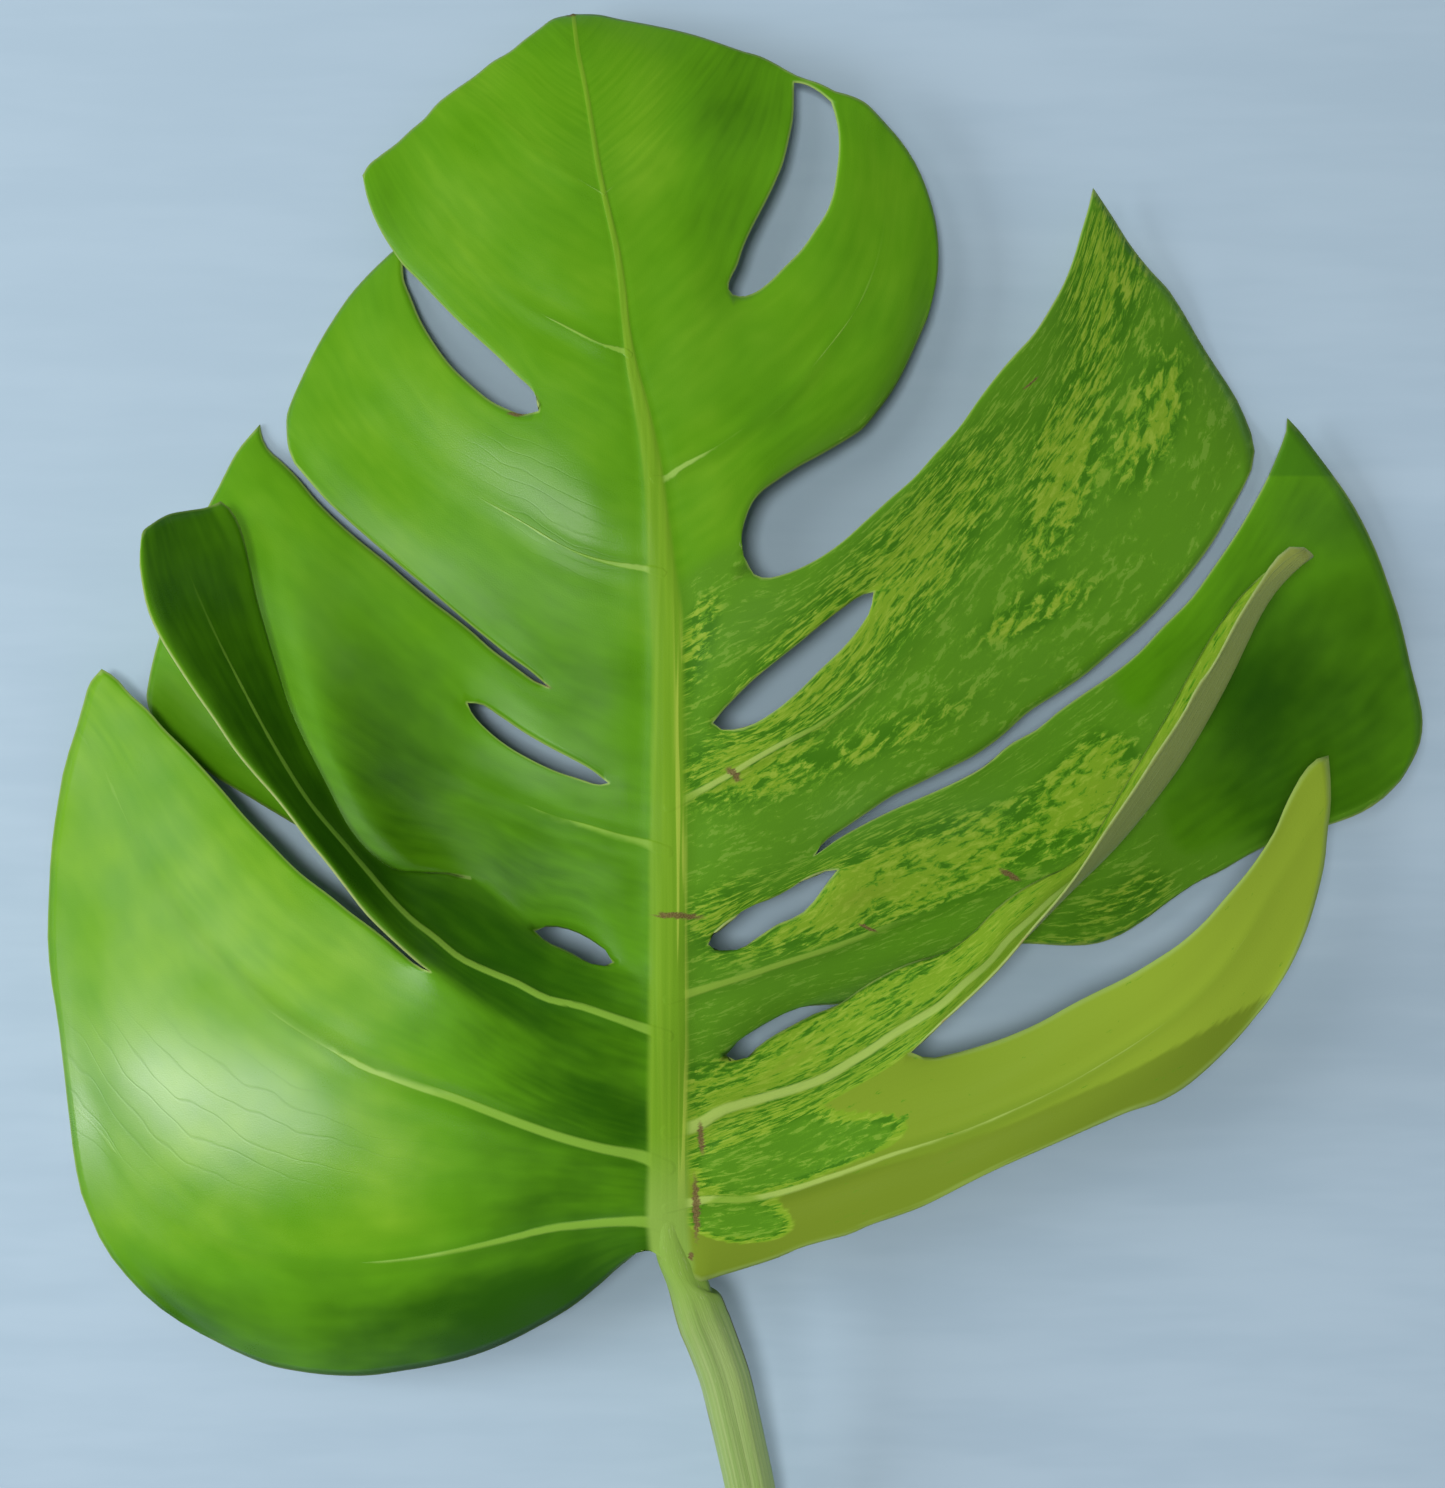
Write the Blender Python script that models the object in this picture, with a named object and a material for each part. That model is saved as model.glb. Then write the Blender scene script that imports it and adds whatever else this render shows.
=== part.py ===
"""A picked monstera leaf that lies on a flat surface, with its cut stalk.

The blade is one thin sheet. It is laid out in plan, as an eye straight above the
leaf sees it: each point is (across, down, height), with across and down in plan
units of UNIT metres at height REF_Z, and height in millimetres above the surface.
The sheet is a grid: ribs run from the midrib to the margin, along the lateral
veins, along the slits and through the holes, and columns run between them.
"""
import math

import bmesh
import bpy
import numpy as np

# ---- driving dimensions -------------------------------------------------------
UNIT = 0.00019        # metres for one plan unit at the reference height
REF_Z = 20.0          # mm, the height at which a plan unit measures UNIT
EYE_Z = 620.0         # mm, the height of the eye that the plan is drawn from
PLAN_MID = (722.5, 744.0)
BLADE_MM = 0.65       # thickness of the blade
STALK_A_MM = 4.75     # half width of the stalk
STALK_B_MM = 4.35     # half height of the stalk
LIFT_MM = 0.60        # heights are given for a sheet with no thickness
ROWS = 18             # rows of the grid from the midrib to the margin
CENTRE = (-0.002214, 0.032524)   # metres, moves the middle of the leaf's box over the origin


# ---- smooth lines -------------------------------------------------------------
def fill_heights(s, z):
    """Heights that are left out follow a monotone curve through the given ones."""
    known = [i for i, v in enumerate(z) if v is not None]
    xs, ys = s[known], np.array([z[i] for i in known], float)
    if len(xs) == 1:
        return np.full(len(s), ys[0])
    h, d = np.diff(xs), np.diff(ys) / np.maximum(np.diff(xs), 1e-9)
    m = np.zeros(len(xs))
    m[0], m[-1] = d[0], d[-1]
    for i in range(1, len(xs) - 1):
        if d[i - 1] * d[i] > 0:
            w1, w2 = 2 * h[i] + h[i - 1], h[i] + 2 * h[i - 1]
            m[i] = (w1 + w2) / (w1 / d[i - 1] + w2 / d[i])
    k = np.clip(np.searchsorted(xs, s, side="right") - 1, 0, len(h) - 1)
    t = (s - xs[k]) / h[k]
    return ((2 * t**3 - 3 * t**2 + 1) * ys[k] + (t**3 - 2 * t**2 + t) * h[k] * m[k]
            + (3 * t**2 - 2 * t**3) * ys[k + 1] + (t**3 - t**2) * h[k] * m[k + 1])


class Line:
    """A smooth line through points, read at a fraction of its length."""

    def __init__(self, points):
        uv = np.array([q[:2] for q in points], float)
        s = np.concatenate([[0], np.cumsum(np.maximum(np.linalg.norm(np.diff(uv, axis=0), axis=1), 1e-6))])
        z = fill_heights(s, [q[2] if len(q) > 2 else None for q in points])
        self.p = np.column_stack([uv, z])
        self.s = s
        self.length = s[-1]
        d = np.diff(self.p, axis=0) / np.diff(s)[:, None]
        m = np.empty_like(self.p)
        m[0], m[-1] = d[0], d[-1]
        if len(s) > 2:
            a = (np.diff(s)[1:] / (s[2:] - s[:-2]))[:, None]
            m[1:-1] = a * d[:-1] + (1 - a) * d[1:]
        self.m = m

    def at(self, f):
        x = np.clip(np.asarray(f, float), 0, 1) * self.length
        k = np.clip(np.searchsorted(self.s, x, side="right") - 1, 0, len(self.s) - 2)
        h = (self.s[k + 1] - self.s[k])
        t = ((x - self.s[k]) / h)[..., None]
        h = h[..., None]
        return ((2 * t**3 - 3 * t**2 + 1) * self.p[k] + (t**3 - 2 * t**2 + t) * h * self.m[k]
                + (3 * t**2 - 2 * t**3) * self.p[k + 1] + (t**3 - t**2) * h * self.m[k + 1])

    def nearest(self, q):
        f = np.linspace(0, 1, 800)
        d = np.linalg.norm(self.at(f)[:, :2] - np.asarray(q[:2]), axis=1)
        return float(f[d.argmin()])


# ---- the leaf's lines: (across, down[, height]) --------------------------------
MIDRIB = [(672, 1266, 36.5), (669, 1240), (668, 1150, 35.5), (668, 1050, 34), (668, 950, 32.5),
          (668, 850, 31), (668, 750, 29.5), (668, 690, 28.6), (666, 612, 27.5), (662, 568),
          (658, 525, 26), (654, 481), (648, 441, 24.3), (640, 401), (632, 366, 22.5), (626, 326),
          (622, 286, 20.3), (616, 246), (608, 211, 18), (600, 175, 16.5), (592, 127, 14.5),
          (586, 91, 13), (578, 52, 11), (573, 13, 8)]
# where the grid's columns meet the midrib: column number, place down the midrib
COLUMNS = [(0, 1266), (3, 1228), (4, 1208), (7, 1168), (10, 1132), (12, 1100), (13, 1070),
           (15, 1036), (17, 1000), (18, 985), (19, 960), (22, 900), (24, 852), (25, 808),
           (26, 795), (28, 735), (32, 610), (33, 573), (36, 480), (39, 385), (40, 356), (45, 195)]
# half width of the midrib's band on the upper face, by place down the leaf
MIDRIB_HALF = [(13, 2.0), (175, 2.6), (326, 3.8), (481, 9.5), (612, 14.5), (900, 17), (1240, 19.5), (1300, 21)]
# depth of the midrib below the blade, in mm
MIDRIB_DEPTH = [(13, 0.2), (175, 0.7), (326, 1.3), (481, 2.2), (612, 3.0), (900, 4.6), (1240, 6.6), (1300, 6.8)]

ONE, TWO = "one", "two"
EARLY = {("slit12", 1): 3}      # the row at which a slit opens, where its length alone would put it too near
LEFT = [
    ("base", 0, [(ONE, [(660, 1258.3, 36.2), (648, 1250.6, 35.2), (624, 1264, 32), (600, 1285), (571, 1308, 26),
                        (537, 1328), (503, 1345, 20), (468, 1358), (430, 1367, 15), (400, 1372),
                        (371, 1376, 12), (332, 1376), (298, 1372, 8), (269, 1366), (239, 1354, 5),
                        (200, 1334, 3.5)])]),
    ("vein5b", 3, [(ONE, [(651, 1223, 36), (615, 1222), (580, 1225), (546, 1229, 35), (517, 1237), (483, 1246),
                          (449, 1254, 31), (415, 1260), (381, 1264), (347, 1267, 25), (298, 1264), (255, 1256, 18),
                          (210, 1240), (165, 1210, 10), (125, 1170), (95, 1125, 3), (66, 1100, 0)])]),
    ("vein5a", 7, [(ONE, [(649, 1159, 35.5), (600, 1148), (566, 1139), (527, 1126, 36), (493, 1113), (454, 1098),
                          (420, 1087, 33), (390, 1076), (361, 1065), (332, 1047, 28), (303, 1030), (278, 1013),
                          (254, 993, 22), (230, 971), (210, 954), (185, 925, 15), (160, 890), (138, 850, 10.5),
                          (118, 805), (103, 765, 7.5), (76, 730, 6)])]),
    ("slit45", 12, [(ONE, [(600, 1083, 36), (560, 1065, 37), (520, 1040, 37), (470, 1000, 36.5), (430, 972, 35)]),
                    (TWO, [(421, 969, 33.6), (405, 956, 30.8), (388, 941, 29.3), (369, 926, 28), (349, 911.5, 26.7), (332, 897.5, 25.5), (300, 873, 23),
                           (268, 841, 20.5), (245, 817, 19), (221, 789, 17.5), (201, 767, 16.5), (185, 750, 15.5),
                           (161, 726, 14), (148, 711, 13.5), (129, 694, 12.5), (113, 676, 11.5), (101, 669, 11)],
                     [(421, 963, 36.2), (405, 948.5, 37.6), (388, 933, 38.3), (368, 913, 39), (348, 887), (328, 861, 39.5),
                      (308, 837), (292, 815), (276, 795, 39), (256, 773), (237, 750, 38.5), (217, 720),
                      (197, 692, 37.5), (177, 662), (161, 636, 35.5), (149, 610), (143, 583, 32), (140, 559, 30),
                      (141, 540, 28)])]),
    ("vein4", 15, [(ONE, [(650, 1030, 34), (615, 1018), (580, 1006, 34), (546, 998), (517, 983, 32.5), (488, 971),
                          (459, 957, 31), (434, 937), (411, 920, 29.5), (388, 897), (368, 873, 28.5), (348, 849),
                          (308, 801, 27.5), (280, 757), (250, 705, 26), (222, 650), (200, 600, 25), (180, 555, 23.5),
                          (169, 514, 22)])]),
    ("slit34", 18, [(ONE, [(640, 972, 31.8), (612, 962, 29.8)]),
                    (TWO, [(604, 966, 29.5), (586, 960, 29), (567, 950, 28), (547, 941, 27), (535, 931, 25.5)],
                     [(610, 956, 29), (598, 946, 28), (578, 934, 26.5), (563, 929, 25.7), (543, 928, 25.2),
                      (535, 931, 25.5)]),
                    (ONE, [(500, 900, 23.3), (470, 878, 22)]),
                    (TWO, [(455, 877, 22), (440, 876.5, 21.6), (420, 875.5, 20.8), (396, 871, 19.6), (376, 857), (356, 837, 17.5), (340, 809),
                           (326, 781), (316, 762, 16), (304, 738), (290, 706, 15.5), (280, 674), (268, 634, 14.5),
                           (258, 599), (251, 567, 14), (245, 541), (237, 519, 14.5), (229, 507), (221, 501, 15.5)],
                     [(455, 875.5, 20.8), (440, 874.5, 19.4), (424, 874.5, 17.8), (400, 875, 15.4), (350, 855, 12), (300, 828, 9.5), (268, 809, 8), (245, 795, 7),
                      (221, 781, 6), (201, 767, 5.5), (180, 750, 5), (162, 732, 4), (150, 714, 3)])]),
    ("vein3", 24, [(ONE, [(650, 845, 30.7), (618, 837, 30), (586, 827, 29), (555, 819, 27.5), (535, 811, 26.5),
                          (500, 797), (467, 781, 22), (427, 762, 19), (380, 730, 15.5), (340, 702, 12.5),
                          (300, 670, 9.5), (250, 635, 6.5), (205, 608, 3.5), (172, 597, 1.8)])]),
    ("hole23", 26, [(ONE, [(640, 790, 29.6), (608, 783, 28.5)]),
                    (TWO, [(598, 785, 28.3), (578, 779, 27.5), (555, 771, 26), (531, 760, 24.5), (507, 746, 22.5),
                           (487, 730, 20.5), (471, 712, 18.5), (467, 703, 17.5)],
                     [(590, 769, 28), (570, 758, 27), (547, 746, 25.5), (523, 732, 23.5), (499, 716, 21),
                      (479, 704, 18.7), (467, 703, 17.5)]),
                    (ONE, [(430, 672, 15.5), (390, 640, 13), (345, 603, 10), (300, 563, 7), (262, 528, 4.5),
                           (218, 487, 1)])]),
    ("slit23", 28, [(ONE, [(620, 712, 28), (580, 698, 26.5), (548, 687, 24.5)]),
                    (TWO, [(533, 680), (523, 673, 22.5), (507, 661), (491, 649, 19.6), (471, 631), (451, 615, 16.3),
                           (431, 600), (408, 581, 12.7), (384, 560), (360, 541, 8.7), (336, 520), (316, 500, 5),
                           (296, 476), (280, 460, 2), (268, 449), (262, 437, 0.5), (260, 424, 0)],
                     [(530, 671, 23.5), (510, 657, 22.2), (490, 641), (470, 625, 19.5), (450, 608), (430, 591, 16.5),
                      (413, 577), (396, 563, 13.5), (372, 542), (348, 521, 9.5), (324, 498), (304, 475, 5.3),
                      (294, 463, 4)])]),
    ("vein2", 33, [(ONE, [(646, 568, 27), (618, 565, 27), (594, 560, 26.5), (563, 548, 25), (539, 533, 23.5),
                          (519, 521, 22), (499, 509, 20.5), (475, 496, 19), (430, 465, 15), (390, 427, 10),
                          (355, 383, 5), (326, 330, 0.3)])]),
    ("slit12", 36, [(ONE, [(610, 453, 25), (570, 430, 23.5), (538, 411, 21.5)]),
                    (TWO, [(521, 414, 20.5), (507, 409), (491, 401, 18), (471, 385, 16), (451, 366, 13.5),
                           (433, 342, 11), (419, 318, 8.5), (410, 296, 6.5), (403, 278, 5), (402, 264, 4),
                           (403, 250, 3), (407, 240, 2.5)],
                     [(540, 405, 21.5), (537, 398), (531, 389, 20.5), (515, 374, 19.5), (499, 358, 18.5),
                      (479, 340, 17), (459, 322, 15.5), (439, 302, 13.5), (419, 281, 11.5), (402, 264, 10),
                      (392, 250, 9), (380, 230, 8), (372, 213, 7), (366, 195, 6), (362, 175, 5)])]),
    ("vein1", 40, [(ONE, [(626, 352, 22), (602, 346, 21.5), (578, 334, 20.5), (559, 324, 19.5), (531, 310, 18),
                          (511, 294, 16.5), (480, 268, 14.5), (450, 238, 12), (420, 200, 9), (400, 172, 6.5),
                          (385, 151, 5)])]),
    ("cap", 45, [(ONE, [(570, 175, 16.5), (530, 148, 14), (495, 118, 10.5), (455, 89, 6.5)])]),
]
RIGHT = [
    ("base", 0, [(ONE, [(686, 1275, 36.2), (700, 1282, 35.6), (718, 1277, 35.7), (751, 1267, 36), (778, 1258),
                        (801, 1248, 37), (825, 1241), (848, 1235, 38), (871, 1225), (898, 1216, 39), (917, 1209),
                        (940, 1198, 40), (963, 1186), (1000, 1168, 41), (1032, 1154), (1069, 1138, 41.5),
                        (1101, 1124), (1129, 1112, 41.5), (1157, 1103), (1180, 1091, 41), (1203, 1073), (1226, 1051, 40),
                        (1249, 1025), (1266, 1001, 39)])]),
    ("vein5", 4, [(ONE, [(705, 1200, 35.7), (751, 1199, 36.5), (788, 1191), (825, 1179, 38.5), (852, 1170),
                         (889, 1156, 40), (926, 1145), (963, 1133, 42), (1000, 1117), (1032, 1103, 43.5),
                         (1065, 1087), (1101, 1066, 44), (1138, 1043), (1171, 1020, 44), (1203, 992),
                         (1231, 960, 42.5), (1258, 918), (1280, 880, 38.5), (1310, 835, 34.5), (1331, 800, 31.3)])]),
    ("slit45", 7, [(ONE, [(720, 1151, 34.3), (760, 1136, 33.7), (820, 1106, 33), (865, 1080, 32.5), (911, 1052, 32)]),
                   (TWO, [(926, 1057, 33), (953, 1053, 34.5), (979, 1046, 36), (1011, 1035, 37.5), (1042, 1021, 38.5),
                          (1069, 1006, 39.5), (1096, 992, 40), (1123, 979), (1154, 961, 41), (1181, 943),
                          (1204, 923, 40.5), (1226, 898), (1249, 871, 38), (1262, 853), (1276, 831, 35.5),
                          (1287, 804), (1296, 786, 32), (1307, 768, 30), (1320, 757, 28.5), (1329, 755, 28)],
                    [(922, 1040, 33.5), (935, 1026, 35.5), (957, 1006, 37.5), (979, 986), (997, 968, 39),
                     (1015, 947), (1033, 925, 40), (1051, 905), (1068, 884, 40), (1083, 862), (1105, 828, 39.5),
                     (1123, 802), (1141, 775), (1154, 754), (1168, 734, 38.5), (1186, 705), (1195, 687), (1211, 665),
                     (1222, 645, 37.5), (1235, 620), (1249, 597, 36.5), (1262, 577), (1269, 566, 35), (1280, 553),
                     (1290, 546, 33.5), (1303, 547, 32)])]),
    ("vein4", 10, [(ONE, [(700, 1124, 34), (718, 1112), (746, 1103, 33), (774, 1095), (801, 1087, 31.5), (825, 1078),
                          (848, 1064, 30.5), (871, 1050), (894, 1034, 30), (917, 1020), (940, 1006, 29.5),
                          (963, 985), (991, 962, 29), (1009, 939), (1032, 918, 28.5), (1055, 897), (1075, 882, 28),
                          (1092, 867), (1110, 851), (1128, 832), (1145, 812, 27), (1163, 789), (1181, 763),
                          (1199, 736, 26.5), (1217, 705), (1231, 678, 27), (1244, 651), (1253, 624, 28), (1264, 599),
                          (1278, 579, 29.5), (1294, 562), (1312, 554, 31)])]),
    ("slit34", 13, [(ONE, [(700, 1062, 31.5), (727, 1055, 29.8)]),
                    (TWO, [(732, 1063, 29.8), (741, 1062, 29.5), (751, 1052), (769, 1038, 28), (792, 1025),
                           (815, 1013, 25.5), (834, 1006), (867, 984, 24.3), (908, 963, 23.4), (948, 950, 22.4),
                           (970, 934), (997, 907, 21.3), (1024, 887), (1051, 873, 19.6), (1076, 862, 18.7),
                           (1103, 820, 17.6), (1141, 757, 16.5), (1165, 717, 15.8), (1190, 671, 16), (1217, 626, 18),
                           (1245, 590, 21.5), (1275, 566, 27), (1298, 559, 30)],
                     [(728, 1050, 29.3), (737, 1043, 28.5), (755, 1031, 27.5), (778, 1018, 26), (801, 1008, 24.5),
                      (820, 1006), (838, 1005, 21), (880, 992, 18), (930, 972, 15.5), (980, 954, 14.2),
                      (1024, 944, 13.5), (1047, 945), (1069, 946, 12), (1096, 944), (1119, 936, 10.5), (1145, 920),
                      (1172, 900, 9), (1199, 882), (1222, 871, 7.5), (1244, 858), (1267, 846, 6), (1300, 834, 5),
                      (1329, 825, 4.5), (1361, 813, 3.5), (1383, 799, 2.5), (1401, 781, 1.5)])]),
    ("vein3", 17, [(ONE, [(700, 990, 32), (746, 976, 31), (778, 965, 29.5), (825, 950, 27), (880, 930, 24),
                          (954, 902, 20), (1009, 880, 17.5), (1083, 850, 14), (1150, 818, 11), (1220, 775, 8),
                          (1290, 722, 5), (1350, 665, 3), (1399, 615, 2)])]),
    ("hole2", 19, [(ONE, [(690, 952, 31.7), (709, 944, 30.5)]),
                   (TWO, [(718, 952, 30), (737, 950, 29.5), (755, 939), (778, 924, 28), (801, 914), (815, 900, 26.5),
                          (825, 886), (838, 870, 26)],
                    [(712, 935, 30.5), (721, 925), (737, 914, 30), (755, 905), (774, 898, 28.5), (792, 888),
                     (811, 875, 27), (825, 869), (838, 870, 26)]),
                   (ONE, [(900, 843, 23), (970, 812, 19.5), (1040, 775, 16), (1100, 735, 13), (1160, 690, 10.3),
                          (1220, 635, 8), (1270, 580, 6), (1315, 520, 4.5), (1345, 492, 4.2)])]),
    ("slit23", 22, [(ONE, [(700, 891, 30.5), (740, 880, 29.5), (780, 868, 28.5), (815, 856, 27)]),
                    (TWO, [(835, 841), (863, 825, 25), (891, 811), (923, 797, 22.5), (955, 783), (983, 769, 20),
                           (1011, 744), (1038, 729, 16.5), (1057, 713), (1085, 693, 14), (1112, 675), (1140, 652, 11.3),
                           (1163, 627), (1191, 599, 9), (1214, 567), (1237, 533, 7), (1255, 502), (1269, 475, 6),
                           (1280, 449), (1287, 430), (1288, 418, 6)],
                     [(821, 846), (845, 828, 26.5), (870, 811), (891, 797, 24.5), (918, 784), (946, 770, 22),
                      (974, 756), (1001, 737, 19), (1029, 712), (1057, 694, 16), (1085, 675), (1112, 652, 13),
                      (1140, 628), (1163, 605, 10.5), (1191, 572), (1214, 540, 8), (1232, 508), (1244, 485, 5.5)])]),
    ("vein2", 25, [(ONE, [(695, 794, 30), (729, 775, 30), (752, 761), (780, 745, 29), (808, 731), (835, 715, 27),
                          (863, 692), (891, 669, 24), (912, 646), (950, 602, 20), (1000, 545, 16), (1050, 487, 12),
                          (1100, 422, 8), (1140, 358, 5), (1170, 291, 3)])]),
    ("hole1", 28, [(ONE, [(690, 731, 29.6), (713, 723, 29)]),
                   (TWO, [(720, 729), (731, 731, 29.3), (752, 725, 29), (775, 711), (798, 692, 27.5), (821, 669),
                          (845, 646, 25), (863, 623), (870, 611, 23), (874, 592, 22.5)],
                    [(720, 714), (734, 699, 28.5), (752, 681), (775, 662, 27.5), (798, 644), (821, 625, 25.5),
                     (845, 607), (863, 595, 23), (874, 592, 22.5)]),
                   (ONE, [(920, 545, 20), (965, 497, 17.5), (1010, 443, 14.5), (1050, 385, 11.5), (1083, 325, 9),
                          (1106, 268, 7.2), (1121, 229, 6.3)])]),
    ("slit12", 32, [(ONE, [(685, 604, 28), (715, 587, 28), (749, 566, 27.3)]),
                    (TWO, [(755, 575), (766, 578, 27.5), (782, 575), (798, 569, 26.5), (821, 557), (845, 540, 25),
                           (868, 519), (891, 498, 22.5), (914, 478), (937, 452, 20), (960, 427), (978, 401, 17.5),
                           (997, 376), (1015, 355, 15.5), (1034, 335), (1052, 307, 13), (1066, 281), (1075, 256, 10.5),
                           (1082, 231), (1089, 208, 9), (1094, 188, 8.5)],
                     [(743, 551), (743, 533, 26), (747, 517), (753, 503, 25), (761, 493), (777, 481, 23.5),
                      (797, 468), (821, 455, 21), (845, 441), (863, 429, 18.5), (877, 413), (892, 393, 16),
                      (904, 372), (916, 346, 14), (928, 318, 13)])]),
    ("vein1", 36, [(ONE, [(666, 479, 25.8), (678, 469), (698, 459, 26.5), (718, 449), (741, 433, 26), (765, 417),
                          (789, 397, 24), (805, 380), (817, 364, 22), (837, 338, 20.5), (857, 310, 19),
                          (869, 282, 17.5), (879, 254, 16), (884, 222, 15), (886, 195, 14), (888, 165, 12.5),
                          (893, 131, 11)])]),
    ("top_hole", 39, [(ONE, [(690, 337, 22), (733, 294, 19.5)]),
                      (TWO, [(741, 296), (753, 293, 19.5), (769, 282), (785, 266, 19), (801, 250), (815, 230, 18),
                             (827, 211), (833, 195, 16.5), (837, 171), (839, 149, 14.5), (838, 127), (835, 113, 13),
                             (831, 101, 12.5)],
                       [(729, 288), (731, 278, 19), (737, 266), (743, 248, 18), (751, 230), (763, 207, 16.5),
                        (773, 187), (783, 163, 15), (789, 139), (793, 119, 13), (794, 99), (794, 82, 11.5)]),
                      (TWO, [(836, 91, 12)], [(797, 75, 11)])]),
    ("cap", 45, [(ONE, [(640, 165, 17), (680, 125, 15), (715, 85, 12.5), (741, 50, 9.5)])]),
]
# the margin of each lobe, from one slit to the next, with the ribs that end on it
LEFT_MARGINS = [
    (["base", "vein5b", "vein5a", "slit45"],
     [(200, 1334, 3.5), (176, 1320, 3), (149, 1300, 2), (123, 1273, 1.5), (103, 1246, 1), (91, 1220), (81, 1195, 1),
      (74, 1161), (68, 1113, 0), (63, 1069), (57, 1020, 0), (50, 976), (47, 940, 0), (48, 897, 0.5), (50, 857, 1.5),
      (53, 829, 2), (58, 797, 3), (64, 765, 4.5), (74, 734, 6), (82, 706, 8), (90, 682, 10), (101, 669, 11)]),
    (["slit45", "vein4", "slit34"],
     [(141, 540, 28), (143, 531, 27), (153, 523, 25.5), (169, 514, 22), (189, 510, 19), (207, 507, 17),
      (221, 501, 15.5)]),
    (["slit34", "vein3", "hole23", "slit23"],
     [(150, 714, 3), (146, 698, 2.5), (148, 682, 2.5), (153, 658, 2), (159, 636, 2), (185, 565, 1.5), (207, 507, 1),
      (215, 493), (225, 473, 1), (237, 451), (249, 436, 0.5), (260, 424, 0)]),
    (["slit23", "vein2", "slit12"],
     [(294, 463, 4), (288, 448, 2.5), (286, 432, 1), (286, 416, 0.3), (292, 398, 0), (300, 380, 0), (320, 340, 0),
      (340, 308, 0.5), (350, 294), (364, 278, 1), (380, 262, 1.5), (392, 251, 2), (407, 240, 2.5)]),
    (["slit12", "vein1", "cap", "apex"],
     [(362, 175, 5), (368, 165), (380, 155, 5), (396, 143, 5), (411, 129), (423, 119, 5.5), (437, 103), (455, 89, 6.5),
      (475, 75), (491, 62, 7), (511, 50), (523, 40, 7.5), (539, 28), (551, 19, 7), (573, 13, 6)]),
]
RIGHT_MARGINS = [
    (["base", "vein5", "slit45"],
     [(1266, 1001, 39), (1280, 983, 38.5), (1296, 955), (1307, 929, 36.5), (1318, 894, 35), (1325, 862, 34), (1328, 831, 32.5), (1331, 808, 31.5),
      (1331, 781, 30), (1329, 755, 28)]),
    (["slit45", "vein4", "slit34"], [(1303, 547, 32), (1312, 554, 31), (1298, 559, 30)]),
    (["slit34", "vein3", "hole2", "slit23"],
     [(1401, 781, 1.5), (1412, 763, 1),
      (1421, 741, 0.5), (1423, 719, 0), (1419, 696, 0), (1412, 669, 0.3), (1406, 642, 1), (1399, 615, 2),
      (1390, 588, 2.5), (1379, 557, 3), (1365, 526, 3.5), (1350, 499, 4), (1334, 476, 4.5), (1316, 452, 5),
      (1300, 431, 5.5), (1288, 418, 6)]),
    (["slit23", "vein2", "hole1", "slit12"],
     [(1244, 485, 5.5), (1252, 468, 4), (1255, 452, 2.5), (1252, 434, 1), (1246, 418, 0.3), (1235, 395, 0),
      (1218, 369, 0.5), (1202, 344, 1), (1186, 316, 2), (1170, 291, 3), (1149, 268, 4.5), (1131, 245, 5.5),
      (1112, 215, 7), (1094, 188, 8.5)]),
    (["slit12", "vein1", "top_hole"],
     [(928, 318, 13), (934, 296, 12.5), (938, 274, 12), (939, 254, 11.5), (938, 234, 11), (934, 211, 10.5),
      (928, 191), (920, 171, 10.5), (910, 153), (900, 139, 11), (888, 125, 11), (877, 113, 11.5), (865, 102, 12),
      (853, 96, 12), (836, 91, 12)]),
    (["top_hole", "cap", "apex"],
     [(797, 75, 11), (787, 70, 11), (777, 64, 10.5), (761, 56, 10), (741, 50, 9.5), (721, 43, 9), (700, 36, 8.5),
      (678, 30, 8), (650, 24, 7.5), (618, 18, 7), (600, 14, 6.5), (573, 13, 6)]),
]
# the thin bridge of tissue that closes the top hole: its inner and its outer edge
BRIDGE = ([(831, 101, 12.5), (817, 90, 12), (801, 82, 11.7), (794, 82, 11.5)],
          [(836, 91, 12), (817, 82, 11.7), (805, 78, 11.3), (797, 75, 11)])
# the stalk's axis, from the blade to its cut end
STALK = [(680, 1270.2, 31.2), (691.5, 1289.5, 31), (703, 1320, 29.6), (712, 1342, 28.2), (725, 1378, 25.6),
         (734, 1414, 23), (742, 1449, 20.4), (750, 1486, 17.6), (757, 1530, 14.2), (765, 1575, 10.9),
         (774, 1620, 7.8), (784, 1665, 5.4), (793, 1705, 3.95), (805, 1755, 3.9), (817, 1800, 3.9)]


def midrib_half(down):
    return np.interp(down, *zip(*MIDRIB_HALF))


# ---- the grid -----------------------------------------------------------------
class Sheet:
    def __init__(self):
        self.p, self.col, self.row, self.side, self.hold = [], [], [], [], []
        self.faces, self.edge = [], {}

    def add(self, p, col, row, side, hold):
        """hold is how firmly the height stays: 1 fixed, 0 free."""
        self.p.append(np.array(p, float))
        self.col.append(col)
        self.row.append(row)
        self.side.append(side)
        self.hold.append(hold)
        return len(self.p) - 1

    def trace(self, ids, line, fracs):
        """The edges between these points follow a line."""
        for a, b, fa, fb in zip(ids[:-1], ids[1:], fracs[:-1], fracs[1:]):
            self.edge[min(a, b), max(a, b)] = (line, fa, fb) if a < b else (line, fb, fa)


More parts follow.
